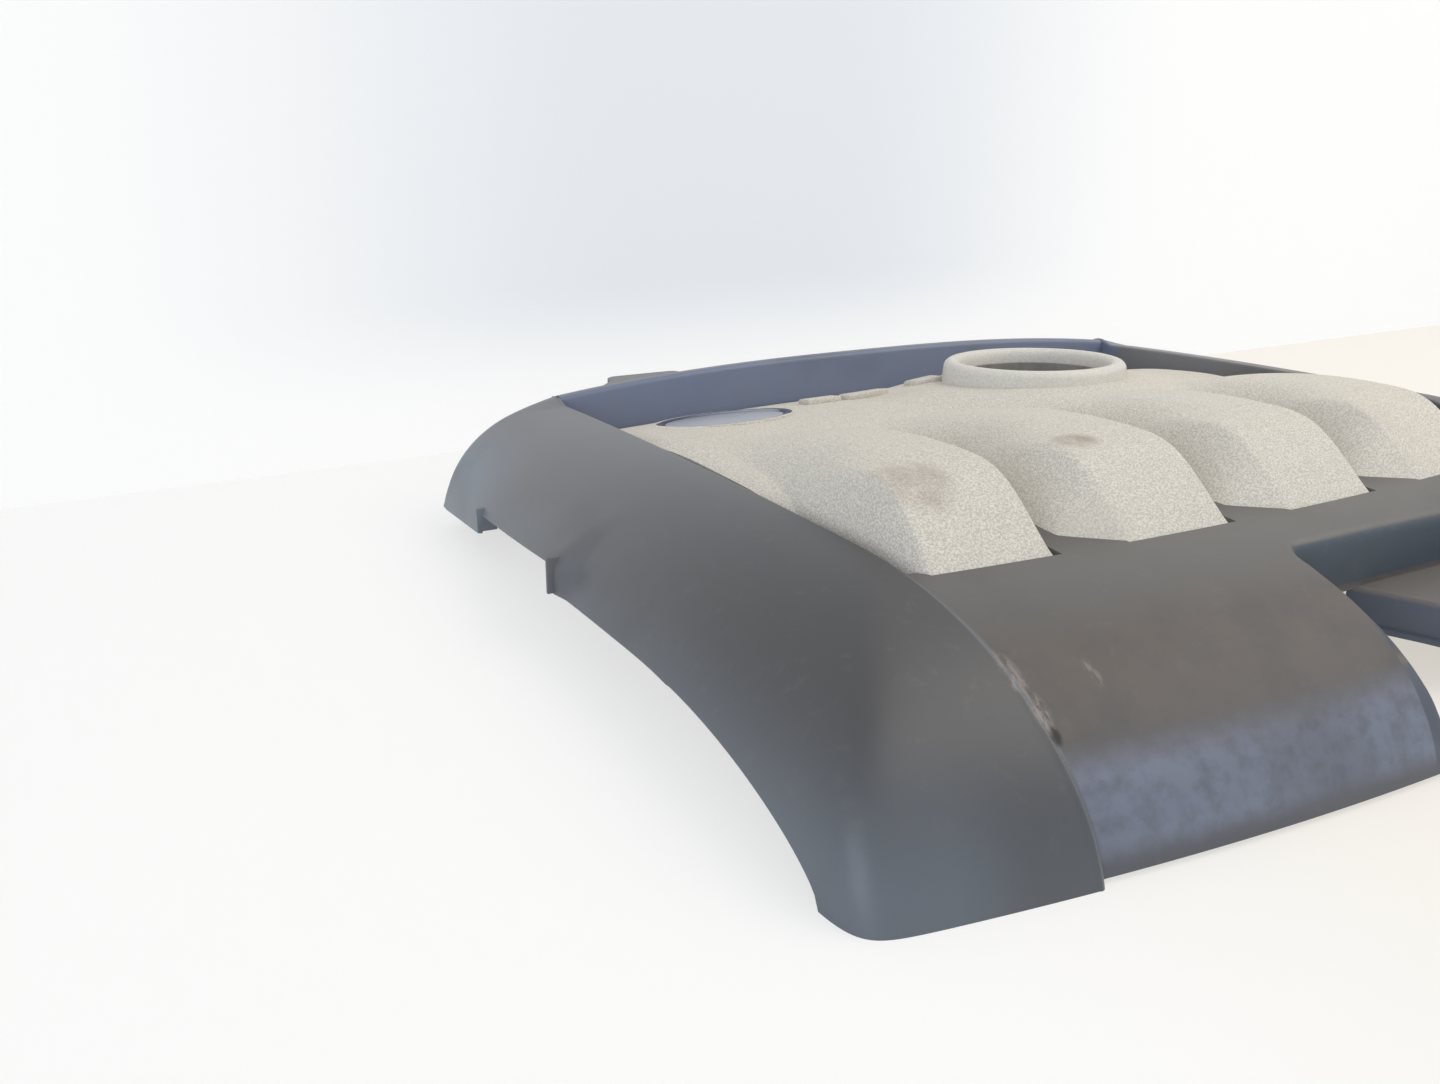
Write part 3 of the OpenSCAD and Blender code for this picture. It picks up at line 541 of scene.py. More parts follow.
# The panel's faces in the openings go, and what borders the cut-out moves to its shoulder
gone = [f.index for f in panel.data.polygons
        if opened(f) or (f.center.y * 1000 < FRONT_Y + CUT_BACK + 9
                         and inside_cut(f.center.x * 1000, f.center.y * 1000))]
cut_away(panel, gone)
edge_use = {}
for f in panel.data.polygons:
    for key in f.edge_keys:
        edge_use[key] = edge_use.get(key, 0) + 1
rim_keys = {key for key, count in edge_use.items() if count == 1}
cut_points, spots = {}, {}
for i in sorted({i for key in rim_keys for i in key}):
    p = Vector(panel.data.vertices[i].co[:2]) * 1000
    if p.y > FRONT_Y + CUT_BACK + 12 or not -24 < p.x < CUT_RIGHT + 8:
        continue
    near = min(range(len(cut_shoulder)), key=lambda k: (cut_shoulder[k] - p).length)
    if (cut_shoulder[near] - p).length < SNAP_REACH:
        cut_points[i], spots[i] = near, p
for i, j in rim_keys:
    if i in spots and j in spots:
        across_edge = (spots[j] - spots[i]).normalized().dot(cut_marks[cut_points[i]][1])
        if abs(across_edge) > 0.7:
            cut_points[i] = cut_points[j] = max(cut_points[i], cut_points[j])
for i, k in cut_points.items():
    x, y = cut_shoulder[k]
    front = y < FRONT_Y + 12
    panel.data.vertices[i].co = (x / 1000, (spots[i].y if front else y) / 1000,
                                 panel.data.vertices[i].co.z if front else panel_z(x, y) / 1000)
cut_rim = [e.index for e in panel.data.edges
           if tuple(sorted(e.vertices)) in rim_keys and all(i in cut_points for i in e.vertices)]
marks = {tuple(round(c, 5) for c in panel.data.vertices[i].co): (k, panel.data.vertices[i].co.copy() * 1000)
         for i, k in cut_points.items()}

# The shoulder turns down through 90 degrees, and then goes straight down to the lip
edit(panel, edges=cut_rim)
for step in (18, 36, 54, 72, 90, 100, 110):
    bpy.ops.mesh.extrude_region()
    done()
    moved = {}
    for vertex in panel.data.vertices:
        if vertex.select:
            k, start = marks[tuple(round(c, 5) for c in vertex.co)]
            p, inward, turn = cut_marks[k]
            angle = math.radians(min(step, 90))
            deep = max(CUT_LIP, (start.z - DECK_LOW + 1) * smooth(inward.y ** 2 * 1.6))
            down = turn * (1 - math.cos(angle)) if step <= 90 else mix(turn, deep, (step - 90) / 20)
            shift = inward * turn * math.sin(angle)
            z = max(min(start.z, LIP_LOWEST), start.z - down)
            vertex.co = Vector((start.x + shift.x, start.y + shift.y, z)) / 1000
            moved[tuple(round(c, 5) for c in vertex.co)] = (k, start)
    marks = moved
    bpy.ops.object.mode_set(mode="EDIT")
done()

# Outer frame, lower deck: the shelf at the bottom of the cut-out, rolled over at its left
# and front edges into a short skirt with a stepped hem.
DECK_FRONT, DECK_BACK, DECK_RIGHT = 42.0, CUT_BACK + 0.5, CUT_RIGHT + 1
DECK_TURN, HEM, SKIRT_DROP = 2.6, 1.6, 20.0
deck_path = [(38, 87.5), (44, 79), (51, 68), (57, 58), (61.5, 49.5), (66, 43.6)]
deck_path += [(x, DECK_FRONT) for x in (74, 100, 126, DECK_RIGHT)]
deck_far = [(x, DECK_BACK) for x in (48, 58, 68, 78, 88, 98, 108, 122, 137, DECK_RIGHT)]
deck_profile = [(0, -SKIRT_DROP), (0, -17.5), (-HEM, -16.5), (-HEM, -12), (-HEM, -DECK_TURN)]
deck_profile += [(-HEM - DECK_TURN * (1 - math.cos(t)), -DECK_TURN * (1 - math.sin(t)))
                 for t in spread(0, math.pi / 2, 5)[1:]]


def along_path(path, t):
    """A point on the smooth curve through a path's points, from 0 at its start to 1."""
    k = min(int(t * (len(path) - 1)), len(path) - 2)
    f = t * (len(path) - 1) - k
    before, after = path[max(k - 1, 0)], path[min(k + 2, len(path) - 1)]
    spot = []
    for p0, p1, p2, p3 in zip(before, path[k], path[k + 1], after):
        spot.append(0.5 * (2 * p1 + (p2 - p0) * f + (2 * p0 - 5 * p1 + 4 * p2 - p3) * f * f
                           + (3 * p1 - p0 - 3 * p2 + p3) * f ** 3))
    return Vector(spot)


def deck_place(t, row):
    edge, far = along_path(deck_path, t), along_path(deck_far, t)
    ahead = along_path(deck_path, min(1, t + 0.01)) - along_path(deck_path, max(0, t - 0.01))
    outward = Vector((-abs(ahead.y), -ahead.x)).normalized()
    if row < len(deck_profile):
        out, down = deck_profile[row]
        spot, z = edge + outward * out, DECK_LOW + down
    else:
        share = (row - len(deck_profile) + 1) / 6
        start = edge - outward * (HEM + DECK_TURN)
        spot, z = start.lerp(far, share), DECK_LOW
    return spot.x, FRONT_Y + spot.y, z


lower_deck, _ = sheet("lower_deck", spread(0, 1, 60), list(range(len(deck_profile) + 6)), deck_place)

# Outer frame, small features: the flat ear behind the rim, the end walls of the left hand
# hold, and the four cups under the wings that take the rubber grommets.
EAR_X, EAR_TOP, EAR_REACH = -147.0, 72.0, 27.0


def ear_place(u, v):
    y = v * (EAR_REACH + 3)
    half = 40 if y < 2 else mix(40, 25, smooth((y - 2) / 22))
    if y > EAR_REACH - 5:
        half = 19 + 8 * math.sqrt(max(0, 1 - ((y - EAR_REACH + 5) / 8) ** 2))
    return EAR_X + u * half, REAR_Y - 3 + min(y, EAR_REACH + 3), EAR_TOP


ear, _ = sheet("ear", spread(-1, 1, 16), [0, 0.12, 0.3, 0.5, 0.7, 0.8, 0.86, 0.91, 0.95, 0.98, 1], ear_place)


def block(name, low, high, round_by=0.4):
    """A plain moulded rib or wall with softened edges, given by two corners."""
    middle = [(a + b) / 2000 for a, b in zip(low, high)]
    bpy.ops.object.select_all(action="DESELECT")
    bpy.ops.mesh.primitive_cube_add(size=1, location=middle)
    piece = bpy.context.object
    piece.name = piece.data.name = name
    piece.scale = [(b - a) / 1000 for a, b in zip(low, high)]
    bpy.ops.object.transform_apply(location=True, rotation=False, scale=True)
    edit(piece)
    bpy.ops.mesh.bevel(offset=round_by / 1000, segments=2, affect="EDGES")
    done()
    return piece


def turned(name, profile, place, count=96):
    """A ring turned from a closed profile of (radius, height) pairs."""
    def ring(angle, point):
        r, h = point
        return place(r * math.cos(angle), r * math.sin(angle), h)
    piece, _ = sheet(name, spread(0, 2 * math.pi, count), profile + profile[:1], ring)
    merge(piece, 0.000005)
    edit(piece)
    bpy.ops.mesh.normals_make_consistent(inside=False)
    done()
    return piece


def wing_height(x, y, hood):
    """Height of a wing's outer face over one place in the plan."""
    low, high = 0.0, 1.0
    for _ in range(24):
        a = (low + high) / 2
        if wing_point(a, 0, y, hood).x < abs(x):
            low = a
        else:
            high = a
    return wing_point(low, 0, y, hood).z


STUDS = [(side * x, depth) for x, depth in ((221.638, 125), (236.063, 385)) for side in (-1, 1)]
GROMMET_Z, GROMMET_R, GROMMET_LENGTH = 6.0, 9.0, 12.0
ribs = []
for k, (x, depth) in enumerate(STUDS):
    y = FRONT_Y + depth
    roof = min(wing_height(x + dx, y + dy, x < 0) for dx in (-11, 11) for dy in (-11, 11)) - 1.2
    r0, r1, r2 = 5.5, GROMMET_R + 0.15, GROMMET_R + 2.55
    cup = turned(f"cup_{k}", [(r1, 0), (r2, 0), (r2, roof - GROMMET_Z), (r2 - 2, roof - GROMMET_Z),
                              (r2 - 2, GROMMET_LENGTH + 2.6), (r0, GROMMET_LENGTH + 2.6),
                              (r0, GROMMET_LENGTH), (r1, GROMMET_LENGTH)],
                 lambda px, py, h, x=x, y=y: (x + px, y + py, GROMMET_Z + h), 28)
    ribs.append(cup)
for k, y in enumerate((HOOD_END_Y + 0.2, HOOD_Y - 2.2)):
    x = -side_x(y) - (hood_shift(y, lip_z(y)) * 0.3)
    ribs.append(block(f"hood_wall_{k}", (x + 1.5, y, arch_z(y) + 0.5), (x + 13, y + 2, lip_z(y) + 4)))
ribs.append(block("cut_wall_right", (CUT_RIGHT - 0.4, FRONT_Y + DECK_FRONT, DECK_LOW - WALL),
                  (CUT_RIGHT + WALL, FRONT_Y + CUT_BACK + 2, 68)))
ribs.append(block("deck_wall_right", (CUT_RIGHT + 0.2, FRONT_Y + DECK_FRONT, DECK_LOW - SKIRT_DROP),
                  (CUT_RIGHT + WALL, FRONT_Y + CUT_BACK, DECK_LOW)))

outer_frame = join(left_wing, right_wing, rim, panel, lower_deck, ear)
merge(outer_frame)
modify(outer_frame, "SOLIDIFY", thickness=0.001 * WALL, offset=-1, use_even_offset=False)
outer_frame = join(outer_frame, *ribs)
outer_frame.name = outer_frame.data.name = "frame_shell"
soften(outer_frame, 32)
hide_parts("outer_frame")
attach(outer_frame, "root")


class Wire:
    """A socket of a material. Calculating with it adds the Math nodes that do it."""

    def __init__(self, paint, socket):
        self.paint, self.socket = paint, socket

    def maths(self, operation, *values):
        return self.paint.node("ShaderNodeMath", {"operation": operation}, dict(enumerate(values)))

    def __add__(self, other):
        return self.maths("ADD", self, other)

    def __mul__(self, other):
        return self.maths("MULTIPLY", self, other)

    def __sub__(self, other):
        return self.maths("SUBTRACT", self, other)

    def larger(self, other):
        return self.maths("MAXIMUM", self, other)

    def between(self, low, high, start=0.0, end=1.0):
        """The value eased from start to end while it goes from low to high."""
        if low > high:
            low, high, start, end = high, low, end, start
        return self.paint.node("ShaderNodeMapRange", {"interpolation_type": "SMOOTHSTEP"},
                               {0: self, 1: low, 2: high, 3: start, 4: end})


class Paint:
    """A material and its node tree, on Object coordinates in metres."""

    def __init__(self, name, colour, roughness, metallic=0.0):
        self.material = bpy.data.materials.new(name)
        self.material.use_nodes = True
        self.tree = self.material.node_tree
        self.shader = self.tree.nodes["Principled BSDF"]
        self.shader.inputs["Base Color"].default_value = (*colour, 1)
        self.shader.inputs["Roughness"].default_value = roughness
        self.shader.inputs["Metallic"].default_value = metallic
        self.place = self.node("ShaderNodeTexCoord", output="Object")

    def node(self, kind, settings=None, values=None, output=0):
        node = self.tree.nodes.new(kind)
        for key, value in (settings or {}).items():
            setattr(node, key, value)
        for key, value in (values or {}).items():
            if isinstance(value, Wire):
                self.tree.links.new(value.socket, node.inputs[key])
            else:
                node.inputs[key].default_value = value
        return Wire(self, node.outputs[output])

    def noise(self, scale, detail=2.0, roughness=0.5, stretch=(1, 1, 1)):
        spot = self.node("ShaderNodeMapping", None, {0: self.place, 3: stretch})
        return self.node("ShaderNodeTexNoise", None, {"Vector": spot, "Scale": scale, "Detail": detail,
                                                      "Roughness": roughness})

    def cells(self, scale):
        return self.node("ShaderNodeTexVoronoi", None, {"Vector": self.place, "Scale": scale}, "Distance")

    def axes(self):
        node = self.node("ShaderNodeSeparateXYZ", None, {0: self.place}).socket.node
        return [Wire(self, node.outputs[k]) for k in range(3)]

    def spot(self, middle, size):
        """A mask that is 1 in the middle of a stain and 0 outside it, given in metres."""
        away = self.node("ShaderNodeVectorMath", {"operation": "SUBTRACT"}, {0: self.place, 1: middle})
        away = self.node("ShaderNodeVectorMath", {"operation": "DIVIDE"}, {0: away, 1: size})
        away = self.node("ShaderNodeVectorMath", {"operation": "LENGTH"}, {0: away}, "Value")
        return away.between(0.35, 1.0, 1, 0)

    def blend(self, a, b, share):
        return self.node("ShaderNodeMix", {"data_type": "RGBA"}, {0: share, 6: a, 7: b}, 2)

    def shades(self, dark, light, share):
        return self.blend((*dark, 1), (*light, 1), share)

    def bump(self, height, strength, distance):
        return self.node("ShaderNodeBump", None, {"Height": height, "Strength": strength, "Distance": distance})

    def into(self, name, wire):
        self.tree.links.new(wire.socket, self.shader.inputs[name])


def grey(value, warm=0.0):
    return value * (1 + warm), value, value * (1 - warm)


def tinted(paint, tint, layers):
    """Lays colours over a tint one after the other, each with its own mask."""
    for colour, share in layers:
        tint = paint.blend(tint, (*colour, 1), share)
    return tint


def wear(piece, paint):
    piece.data.materials.clear()
    piece.data.materials.append(paint.material)


# Frame plastic: dark grey, finely grained and satin, and rubbed beside the left ridge. Its colour also holds
# painted light: a painted reflection makes it paler towards the rear and bluer low down, on the rim's inner
# face and at the left side's rear end; a painted warm sheen lies on the front roll, the panel's shelf is
# painted paler where it faces up, a painted highlight runs along the left ridge, and the cut-out has painted
# reflection and a painted lit line.
frame_paint = Paint("frame_plastic", (0.08, 0.08, 0.083), 0.4)
across, along, height = frame_paint.axes()
cloud = frame_paint.noise(9, 3, 0.55)
mottle = frame_paint.noise(120, 4, 0.6)
streak = frame_paint.noise(26, 4, 0.65, (1, 1, 0.45))
scratch = frame_paint.noise(420, 4, 0.7, (1, 0.35, 0.35)).between(0.42, 0.62)

# Masks of places on the frame, in metres: 1 on the place and 0 off it
RIDGE_MIDDLE, RIM_HALF = ridge_x(0) / 1000, RIDGE_HALF / 1000 + 0.0005
CUT_REAR, RIM_CREST, SHELF = (FRONT_Y + CUT_BACK) / 1000, RIM_Y / 1000, DECK_LOW / 1000
inside_left = along * RIDGE_SLOPE + across + RIDGE_MIDDLE
inside_right = along * RIDGE_SLOPE - across + RIDGE_MIDDLE
on_panel = inside_right.between(0, 0.0015) * inside_left.between(0, 0.0015) * along.between(-0.09, -0.13)
# Painted highlight: a paler line along the left ridge's crest on the front roll
crest = (inside_left.between(-0.0022, -0.0008) * inside_left.between(0.0015, 0.0002)
         * along.between(-0.09, -0.11))
# Painted warm sheen: a warmer, paler band across the middle of the front roll, also made rougher
warm_light_band = on_panel * height.between(0.03, 0.045) * height.between(0.075, 0.06)
# Painted reflection: a mottled bluish sheen low on the front roll
sheen = on_panel * height.between(0.004, 0.014) * height.between(0.042, 0.03)
# Painted reflection: the frame is coloured bluer low down, more so on the left
low = height.between(0.062, 0.01) * across.between(-0.24, -0.2, 0.85, 0.35)
# Painted reflection: the rim's inner face is coloured paler and bluer, mottled
rim_face = along.between(0.17, 0.182) * along.between(RIM_CREST + 0.007, RIM_CREST - 0.001)
rim_face = rim_face * across.between(-RIM_HALF - 0.001, 0.001 - RIM_HALF)
rim_face = rim_face * across.between(RIM_HALF + 0.001, RIM_HALF - 0.001)
# Painted reflection: a paler, bluer patch at the rear end of the left wing's side
side_end = across.between(-0.25, -0.285) * along.between(0.1, 0.18)
# Painted light in the cut-out: painted bluish reflection on its walls and below the shelf, and a painted paler
# lit line at the shelf's edge
in_cut = across.between(-0.0095, -0.0085) * across.between(0.1535, 0.1525) * on_panel
in_cut = in_cut * along.between(CUT_REAR + 0.0025, CUT_REAR + 0.0015)
rubbed = (frame_paint.spot((-0.1832, -0.179, 0.0575), (0.005, 0.016, 0.012))
          + frame_paint.spot((-0.1812, -0.193, 0.0495), (0.005, 0.011, 0.010))
          + frame_paint.spot((-0.1516, -0.187, 0.0555), (0.0035, 0.009, 0.008)) * 0.7) * scratch
dark_spot = frame_paint.spot((-0.1806, -0.2008, 0.0441), (0.0032, 0.005, 0.006))

# Painted reflection of the white wall: the frame is coloured paler towards the rear
rear_reflection = frame_paint.shades((0.062, 0.061, 0.064), (0.178, 0.178, 0.186), along.between(-0.15, 0.17))
frame_paint.into("Base Color", tinted(frame_paint, rear_reflection, (
    ((0.11, 0.095, 0.084), warm_light_band * streak.between(0.3, 0.6, 0.5, 1)),
    # Painted light: the panel's shelf is coloured paler where it faces up
    ((0.125, 0.12, 0.112), on_panel * height.between(0.06, 0.078)),
    ((0.15, 0.16, 0.18), crest * 0.7),
    ((0.12, 0.14, 0.165), low),
    ((0.165, 0.185, 0.245), sheen * mottle.between(0.25, 0.65, 0.45, 1) * cloud.between(0.25, 0.55, 0.5, 1)),
    ((0.15, 0.18, 0.262), rim_face * mottle.between(0.3, 0.6, 0.8, 1)),
    ((0.21, 0.235, 0.265), side_end),
    ((0.055, 0.074, 0.094), in_cut * height.between(SHELF + 0.0015, SHELF + 0.004)),
    ((0.13, 0.12, 0.112), in_cut * height.between(SHELF + 0.0015, SHELF)
     * height.between(SHELF - 0.0035, SHELF - 0.001)),
    ((0.075, 0.088, 0.115), in_cut * height.between(SHELF - 0.001, SHELF - 0.0035)),
    (grey(0.04, 0.1), cloud.between(0.56, 0.72, 0, 0.22)),
    (grey(0.16, 0.02), mottle.between(0.55, 0.8, 0, 0.2)),
    (grey(0.02), dark_spot),
    ((0.3, 0.25, 0.225), rubbed * 0.65))))
frame_paint.into("Roughness", cloud * 0.1 + warm_light_band * 0.22 + 0.38)
grain = frame_paint.noise(1800, 1, 0.5) + frame_paint.noise(500, 2, 0.6) * rim_face * 2
frame_paint.into("Normal", frame_paint.bump(grain, 0.25, 0.0001))
wear(outer_frame, frame_paint)

# Insert: one light shell with a grained face. Its deck rises from the rear edge, and four
# humps grow out of it, each with a crisp right side and a broad flared left flank.
FILLER = Vector((61.0, FRONT_Y + 337.5, 94.5))
FILLER_TILT = math.radians(-5.3)
FILLER_R, COLLAR_RIM, COLLAR_HEIGHT = 45.0, 12.0, 17.0
DISC_X, DISC_Y, DISC_R, DISC_GAP, DISC_SINK = 139.126, FRONT_Y + 377.0, 40.0, 0.8, 3.0
DISC_SLOPE = math.atan((deck_at(-DISC_X, DISC_Y + 20) - deck_at(-DISC_X, DISC_Y - 20)) / 40)
DISC_LEAN = math.atan((deck_at(-DISC_X + 20, DISC_Y) - deck_at(-DISC_X - 20, DISC_Y)) / 40)
filler_turn = Matrix.Rotation(FILLER_TILT, 3, "X")
disc_turn = Matrix.Rotation(DISC_SLOPE, 3, "X") @ Matrix.Rotation(-DISC_LEAN, 3, "Y")
DISC = Vector((-DISC_X, DISC_Y, deck_at(-DISC_X, DISC_Y)))


def at_filler(x, y, h):
    return FILLER + filler_turn @ Vector((x, y, h))


def at_disc(x, y, h):
    return DISC + disc_turn @ Vector((x, y, h))


def ramp(t, r):
    """A slope of one that starts at 0, with its start rounded over plus and minus r."""
    return 0 if t <= -r else t if t >= r else (t + r) ** 2 / (4 * r)


def hump_flank(centre, v, height):
    """Width of a hump's left flank. The first hump's flank ends at the insert's own edge."""
    room = insert_edge_x(toe_line(0) + v) + centre - HUMP_WIDTH / 2 - 2.5
    return max(2, min(flare(v, height), room))


def hump_share(x, v, height):
    """How far the surface has risen from the deck to the crest of the nearest hump, 0 to 1."""
    w = HUMP_WIDTH / 2
    crest_round = mix(1.3, 4, smooth((v - 12) / 60))
    soft = smooth((v - 42) / 62)
    right_round = mix(1.1, 2.4, smooth((v - 20) / 120))
    best = 0
    for centre in HUMP_XS:
        dx, m = x - centre, hump_flank(centre, v, height)
        if -w - m - 3 < dx < w + HUMP_FOOT + 6:
            plain = (ramp(dx + w + m, 1.1) - ramp(dx + w, crest_round)) / m
            swept = 1 - (1 - clamp((dx + w + m) / (m + 30))) ** 2.3
            fall = (ramp(dx - w, right_round) - ramp(dx - w - HUMP_FOOT, right_round)) / HUMP_FOOT
            best = max(best, mix(plain, swept, soft) - fall)
    return best


def insert_columns(v, height):
    """Places across the insert, close together where a hump's foot or crest turns."""
    w = HUMP_WIDTH / 2
    crest_round = mix(1.3, 4, smooth((v - 12) / 60))
    places = spread(-218, HUMP_XS[0] - w - hump_flank(HUMP_XS[0], v, height) - 2.6, 8)
    for k, x in enumerate(HUMP_XS):
        m = hump_flank(x, v, height)
        start, near = x - w - m, min(crest_round, m / 3)
        places += [start - 1.8, start - 1.1, start - 0.55, start, start + 0.45, start + 0.9]
        places += spread(start + min(1.6, m * 0.5), x - w - near, 6)
        places += spread(x - w - near * 0.6, x - w + crest_round, 7)
        places += spread(x - w + crest_round + 2, x + w - 4, 10)
        places += spread(x + w - 2.6, x + w + HUMP_FOOT + 3, 14)
        if k < 3:
            gap = (HUMP_XS[k + 1] - w - hump_flank(HUMP_XS[k + 1], v, height) - 2.2) - (x + w + HUMP_FOOT + 3)
            places += [x + w + HUMP_FOOT + 3 + gap * t for t in (0.33, 0.66)]
    return places + spread(HUMP_XS[3] + w + HUMP_FOOT + 5, 218, 6)


def collar_swell(x, y):
    """The deck round the collar rises a little, so that the collar stands on it all round."""
    dx, dy = x - FILLER.x, y - FILLER.y
    away = math.hypot(dx, dy) / (FILLER_R + COLLAR_RIM)
    wanted = FILLER.z - 12.2 - 0.16 * dy - deck_at(x, y)
    return max(0, wanted) * (1 - smooth((away - 1.04) / 0.85))


def insert_place(column, row):
    v, top = row
    places = insert_columns(min(v, HUMP_LENGTH), max(1, top - PANEL_UNDER))
    last = len(places) - 1
    y0 = toe_line(0) + v
    limit = insert_edge_x(y0)
    from_edge = min(column, last - column)
    room = 0 if from_edge == 0 else 0.7 + 0.12 * from_edge
    x = max(room - limit, min(limit - room, places[column]))
    y = y0 + (toe_line(x) - toe_line(0)) * clamp(1 - v / HUMP_LENGTH)
    base = deck_at(x, y) + collar_swell(x, y)
    share = hump_share(x, v, max(1, top - PANEL_UNDER)) if from_edge else 0
    return x, y, base + max(0, top - base) * share


insert_rows = [(v, hump_height(v)) for v in (-9, -7, -5, -3, -1.5)]
insert_rows += [tuple(p) for p in hump_line]
deck_end = INSERT_REAR_Y - toe_line(0)
insert_rows += [(v, 0) for v in spread(HUMP_LENGTH + 3, deck_end, 34)]
insert, _ = sheet("insert_shell", list(range(len(insert_columns(0, 3)))), insert_rows, insert_place)
modify(insert, "SOLIDIFY", thickness=0.001 * INSERT_WALL, offset=-1, use_even_offset=False)


def plug(name, radius, low, high, place, count=96):
    """A solid round cutter between two heights."""
    return turned(name, [(0.001, low), (radius, low), (radius, high), (0.001, high)], place, count)


def cut_with(piece, cutter, operation="DIFFERENCE"):
    modify(piece, "BOOLEAN", object=cutter, operation=operation, solver="EXACT")
    bpy.data.objects.remove(cutter)


cut_with(insert, plug("filler_hole", FILLER_R + COLLAR_RIM - 1.5, -40, 20, at_filler))
cut_with(insert, plug("disc_hole", DISC_R + DISC_GAP, -20, 20, at_disc))
seat_out, seat_low = DISC_R + DISC_GAP, -DISC_SINK - INSERT_WALL
seat_ring = turned("disc_seat", [(2.2, -DISC_SINK), (seat_out, -DISC_SINK), (seat_out, -0.4),
                                 (seat_out + 2, -0.6), (seat_out + 2, seat_low), (2.2, seat_low)], at_disc)
ledge_in, ledge_out, ledge_low = FILLER_R + 3.2, FILLER_R + COLLAR_RIM - 1.6, -COLLAR_HEIGHT - INSERT_WALL
collar_seat = turned("collar_seat", [(ledge_in, -COLLAR_HEIGHT), (ledge_out, -COLLAR_HEIGHT),
                                     (ledge_out, ledge_low), (ledge_in, ledge_low)], at_filler)
pins = []
PIN_R, PIN_LENGTH, PIN_DEPTHS = 2.0, 5.6, (249.66, 310.98, 370.11)
pin_places = [(t * insert_edge_x(INSERT_REAR_Y - 6), INSERT_REAR_Y - 6) for t in (-0.74, -0.25, 0.25, 0.74)]
pin_places += [(s * (insert_edge_x(FRONT_Y + d) - 5), FRONT_Y + d) for s in (-1, 1) for d in PIN_DEPTHS]
for k, (x, y) in enumerate(pin_places):
    top = deck_at(x, y) - INSERT_WALL + 0.6
    pins.append(turned(f"pin_{k}", [(0.001, -PIN_LENGTH), (PIN_R - 0.4, -PIN_LENGTH), (PIN_R, 1 - PIN_LENGTH),
                                    (PIN_R, 0), (0.001, 0)],
                       lambda px, py, h, x=x, y=y, top=top: (x + px, y + py, top + h), 16))

# Three plain raised pads stand on the deck behind the humps
PAD_LOW, PAD_HIGH, PAD_ROUND = -1.5, 3.2, 1.2
pads = []
for k, (x, y, wide, deep) in enumerate(((-69, 139, 24, 13), (-38, 137, 30, 13), (6, 134, 22, 13))):
    low_corner, high_corner = (x - wide / 2, y - deep / 2, PAD_LOW), (x + wide / 2, y + deep / 2, PAD_HIGH)
    pad = block(f"pad_{k}", low_corner, high_corner, PAD_ROUND)
    for vertex in pad.data.vertices:
        spot = vertex.co * 1000
        vertex.co.z += (deck_at(spot.x, spot.y) + collar_swell(spot.x, spot.y)) / 1000
    pads.append(pad)
insert = join(insert, seat_ring, collar_seat, *pins, *pads)
insert.name = insert.data.name = "insert_shell"
soften(insert, 40)
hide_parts("centre_insert")
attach(insert, "root")

# Insert plastic: warm light grey with a coarse sand grain, and a few brown stains
insert_paint = Paint("insert_plastic", (0.62, 0.585, 0.52), 0.75)
speck = insert_paint.noise(1150, 2, 0.6)
patch = insert_paint.noise(14, 3, 0.55)
dirt = insert_paint.noise(70, 4, 0.65)
stains = (insert_paint.spot((-0.164, -0.0876, 0.1), (0.022, 0.024, 0.02))
          + insert_paint.spot((-0.065, -0.0754, 0.103), (0.015, 0.014, 0.012)) * 1.4)
grained = insert_paint.shades((0.5, 0.465, 0.405), (0.7, 0.665, 0.595), speck.between(0.38, 0.62))
insert_paint.into("Base Color", tinted(insert_paint, grained, (
    ((0.52, 0.475, 0.42), patch.between(0.55, 0.8, 0, 0.4)),
    ((0.3, 0.235, 0.19), stains * dirt.between(0.35, 0.65, 0.2, 0.55)))))
insert_paint.into("Normal", insert_paint.bump(speck, 0.5, 0.0005))
wear(insert, insert_paint)

# Filler collar: a thick rounded ring moulded in the insert's own light plastic, standing
# on the deck round the oil filler opening. Its outside leans in a little towards the top.
outer, collar_low = FILLER_R + COLLAR_RIM, -COLLAR_HEIGHT
collar_profile = [(outer, collar_low), (outer, collar_low + 0.8), (outer - 0.2, -12), (outer - 0.5, -8),
                  (outer - 0.9, -5)]
collar_profile += [(FILLER_R + 6 + 5.1 * math.cos(t), -5 + 5 * math.sin(t))
                   for t in spread(0.25, math.pi - 0.25, 14)]
collar_profile += [(FILLER_R + 0.6, -5), (FILLER_R + 0.3, -9), (FILLER_R, collar_low + 1),
                   (FILLER_R, collar_low), (FILLER_R + 2.5, collar_low), (FILLER_R + 2.5, -7),
                   (FILLER_R + 5, -4), (outer - 5, -4), (outer - 2.5, -7), (outer - 2.5, collar_low)]
collar = turned("collar_ring", collar_profile, at_filler, 128)
soften(collar, 40)
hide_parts("filler_collar")
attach(collar, "root")

collar_paint = Paint("collar_plastic", (0.6, 0.58, 0.53), 0.6)
speck = collar_paint.noise(900, 2, 0.6)
collar_paint.into("Base Color", collar_paint.shades((0.6, 0.575, 0.52), (0.7, 0.675, 0.615),
                                                    speck.between(0.35, 0.65)))
collar_paint.into("Normal", collar_paint.bump(speck, 0.3, 0.0004))
wear(collar, collar_paint)

# Sleeve: a darker ring that hangs inside the collar. Its wall is divided by fine upright
# joints, and a flange clips it under the insert.
sleeve_low, flange_top, flange_low = collar_low - 16.3, collar_low - 2.6, collar_low - 4.8
JOINTS, JOINT_DEPTH = 12, 0.6
SLEEVE_COUNT = JOINTS * 12


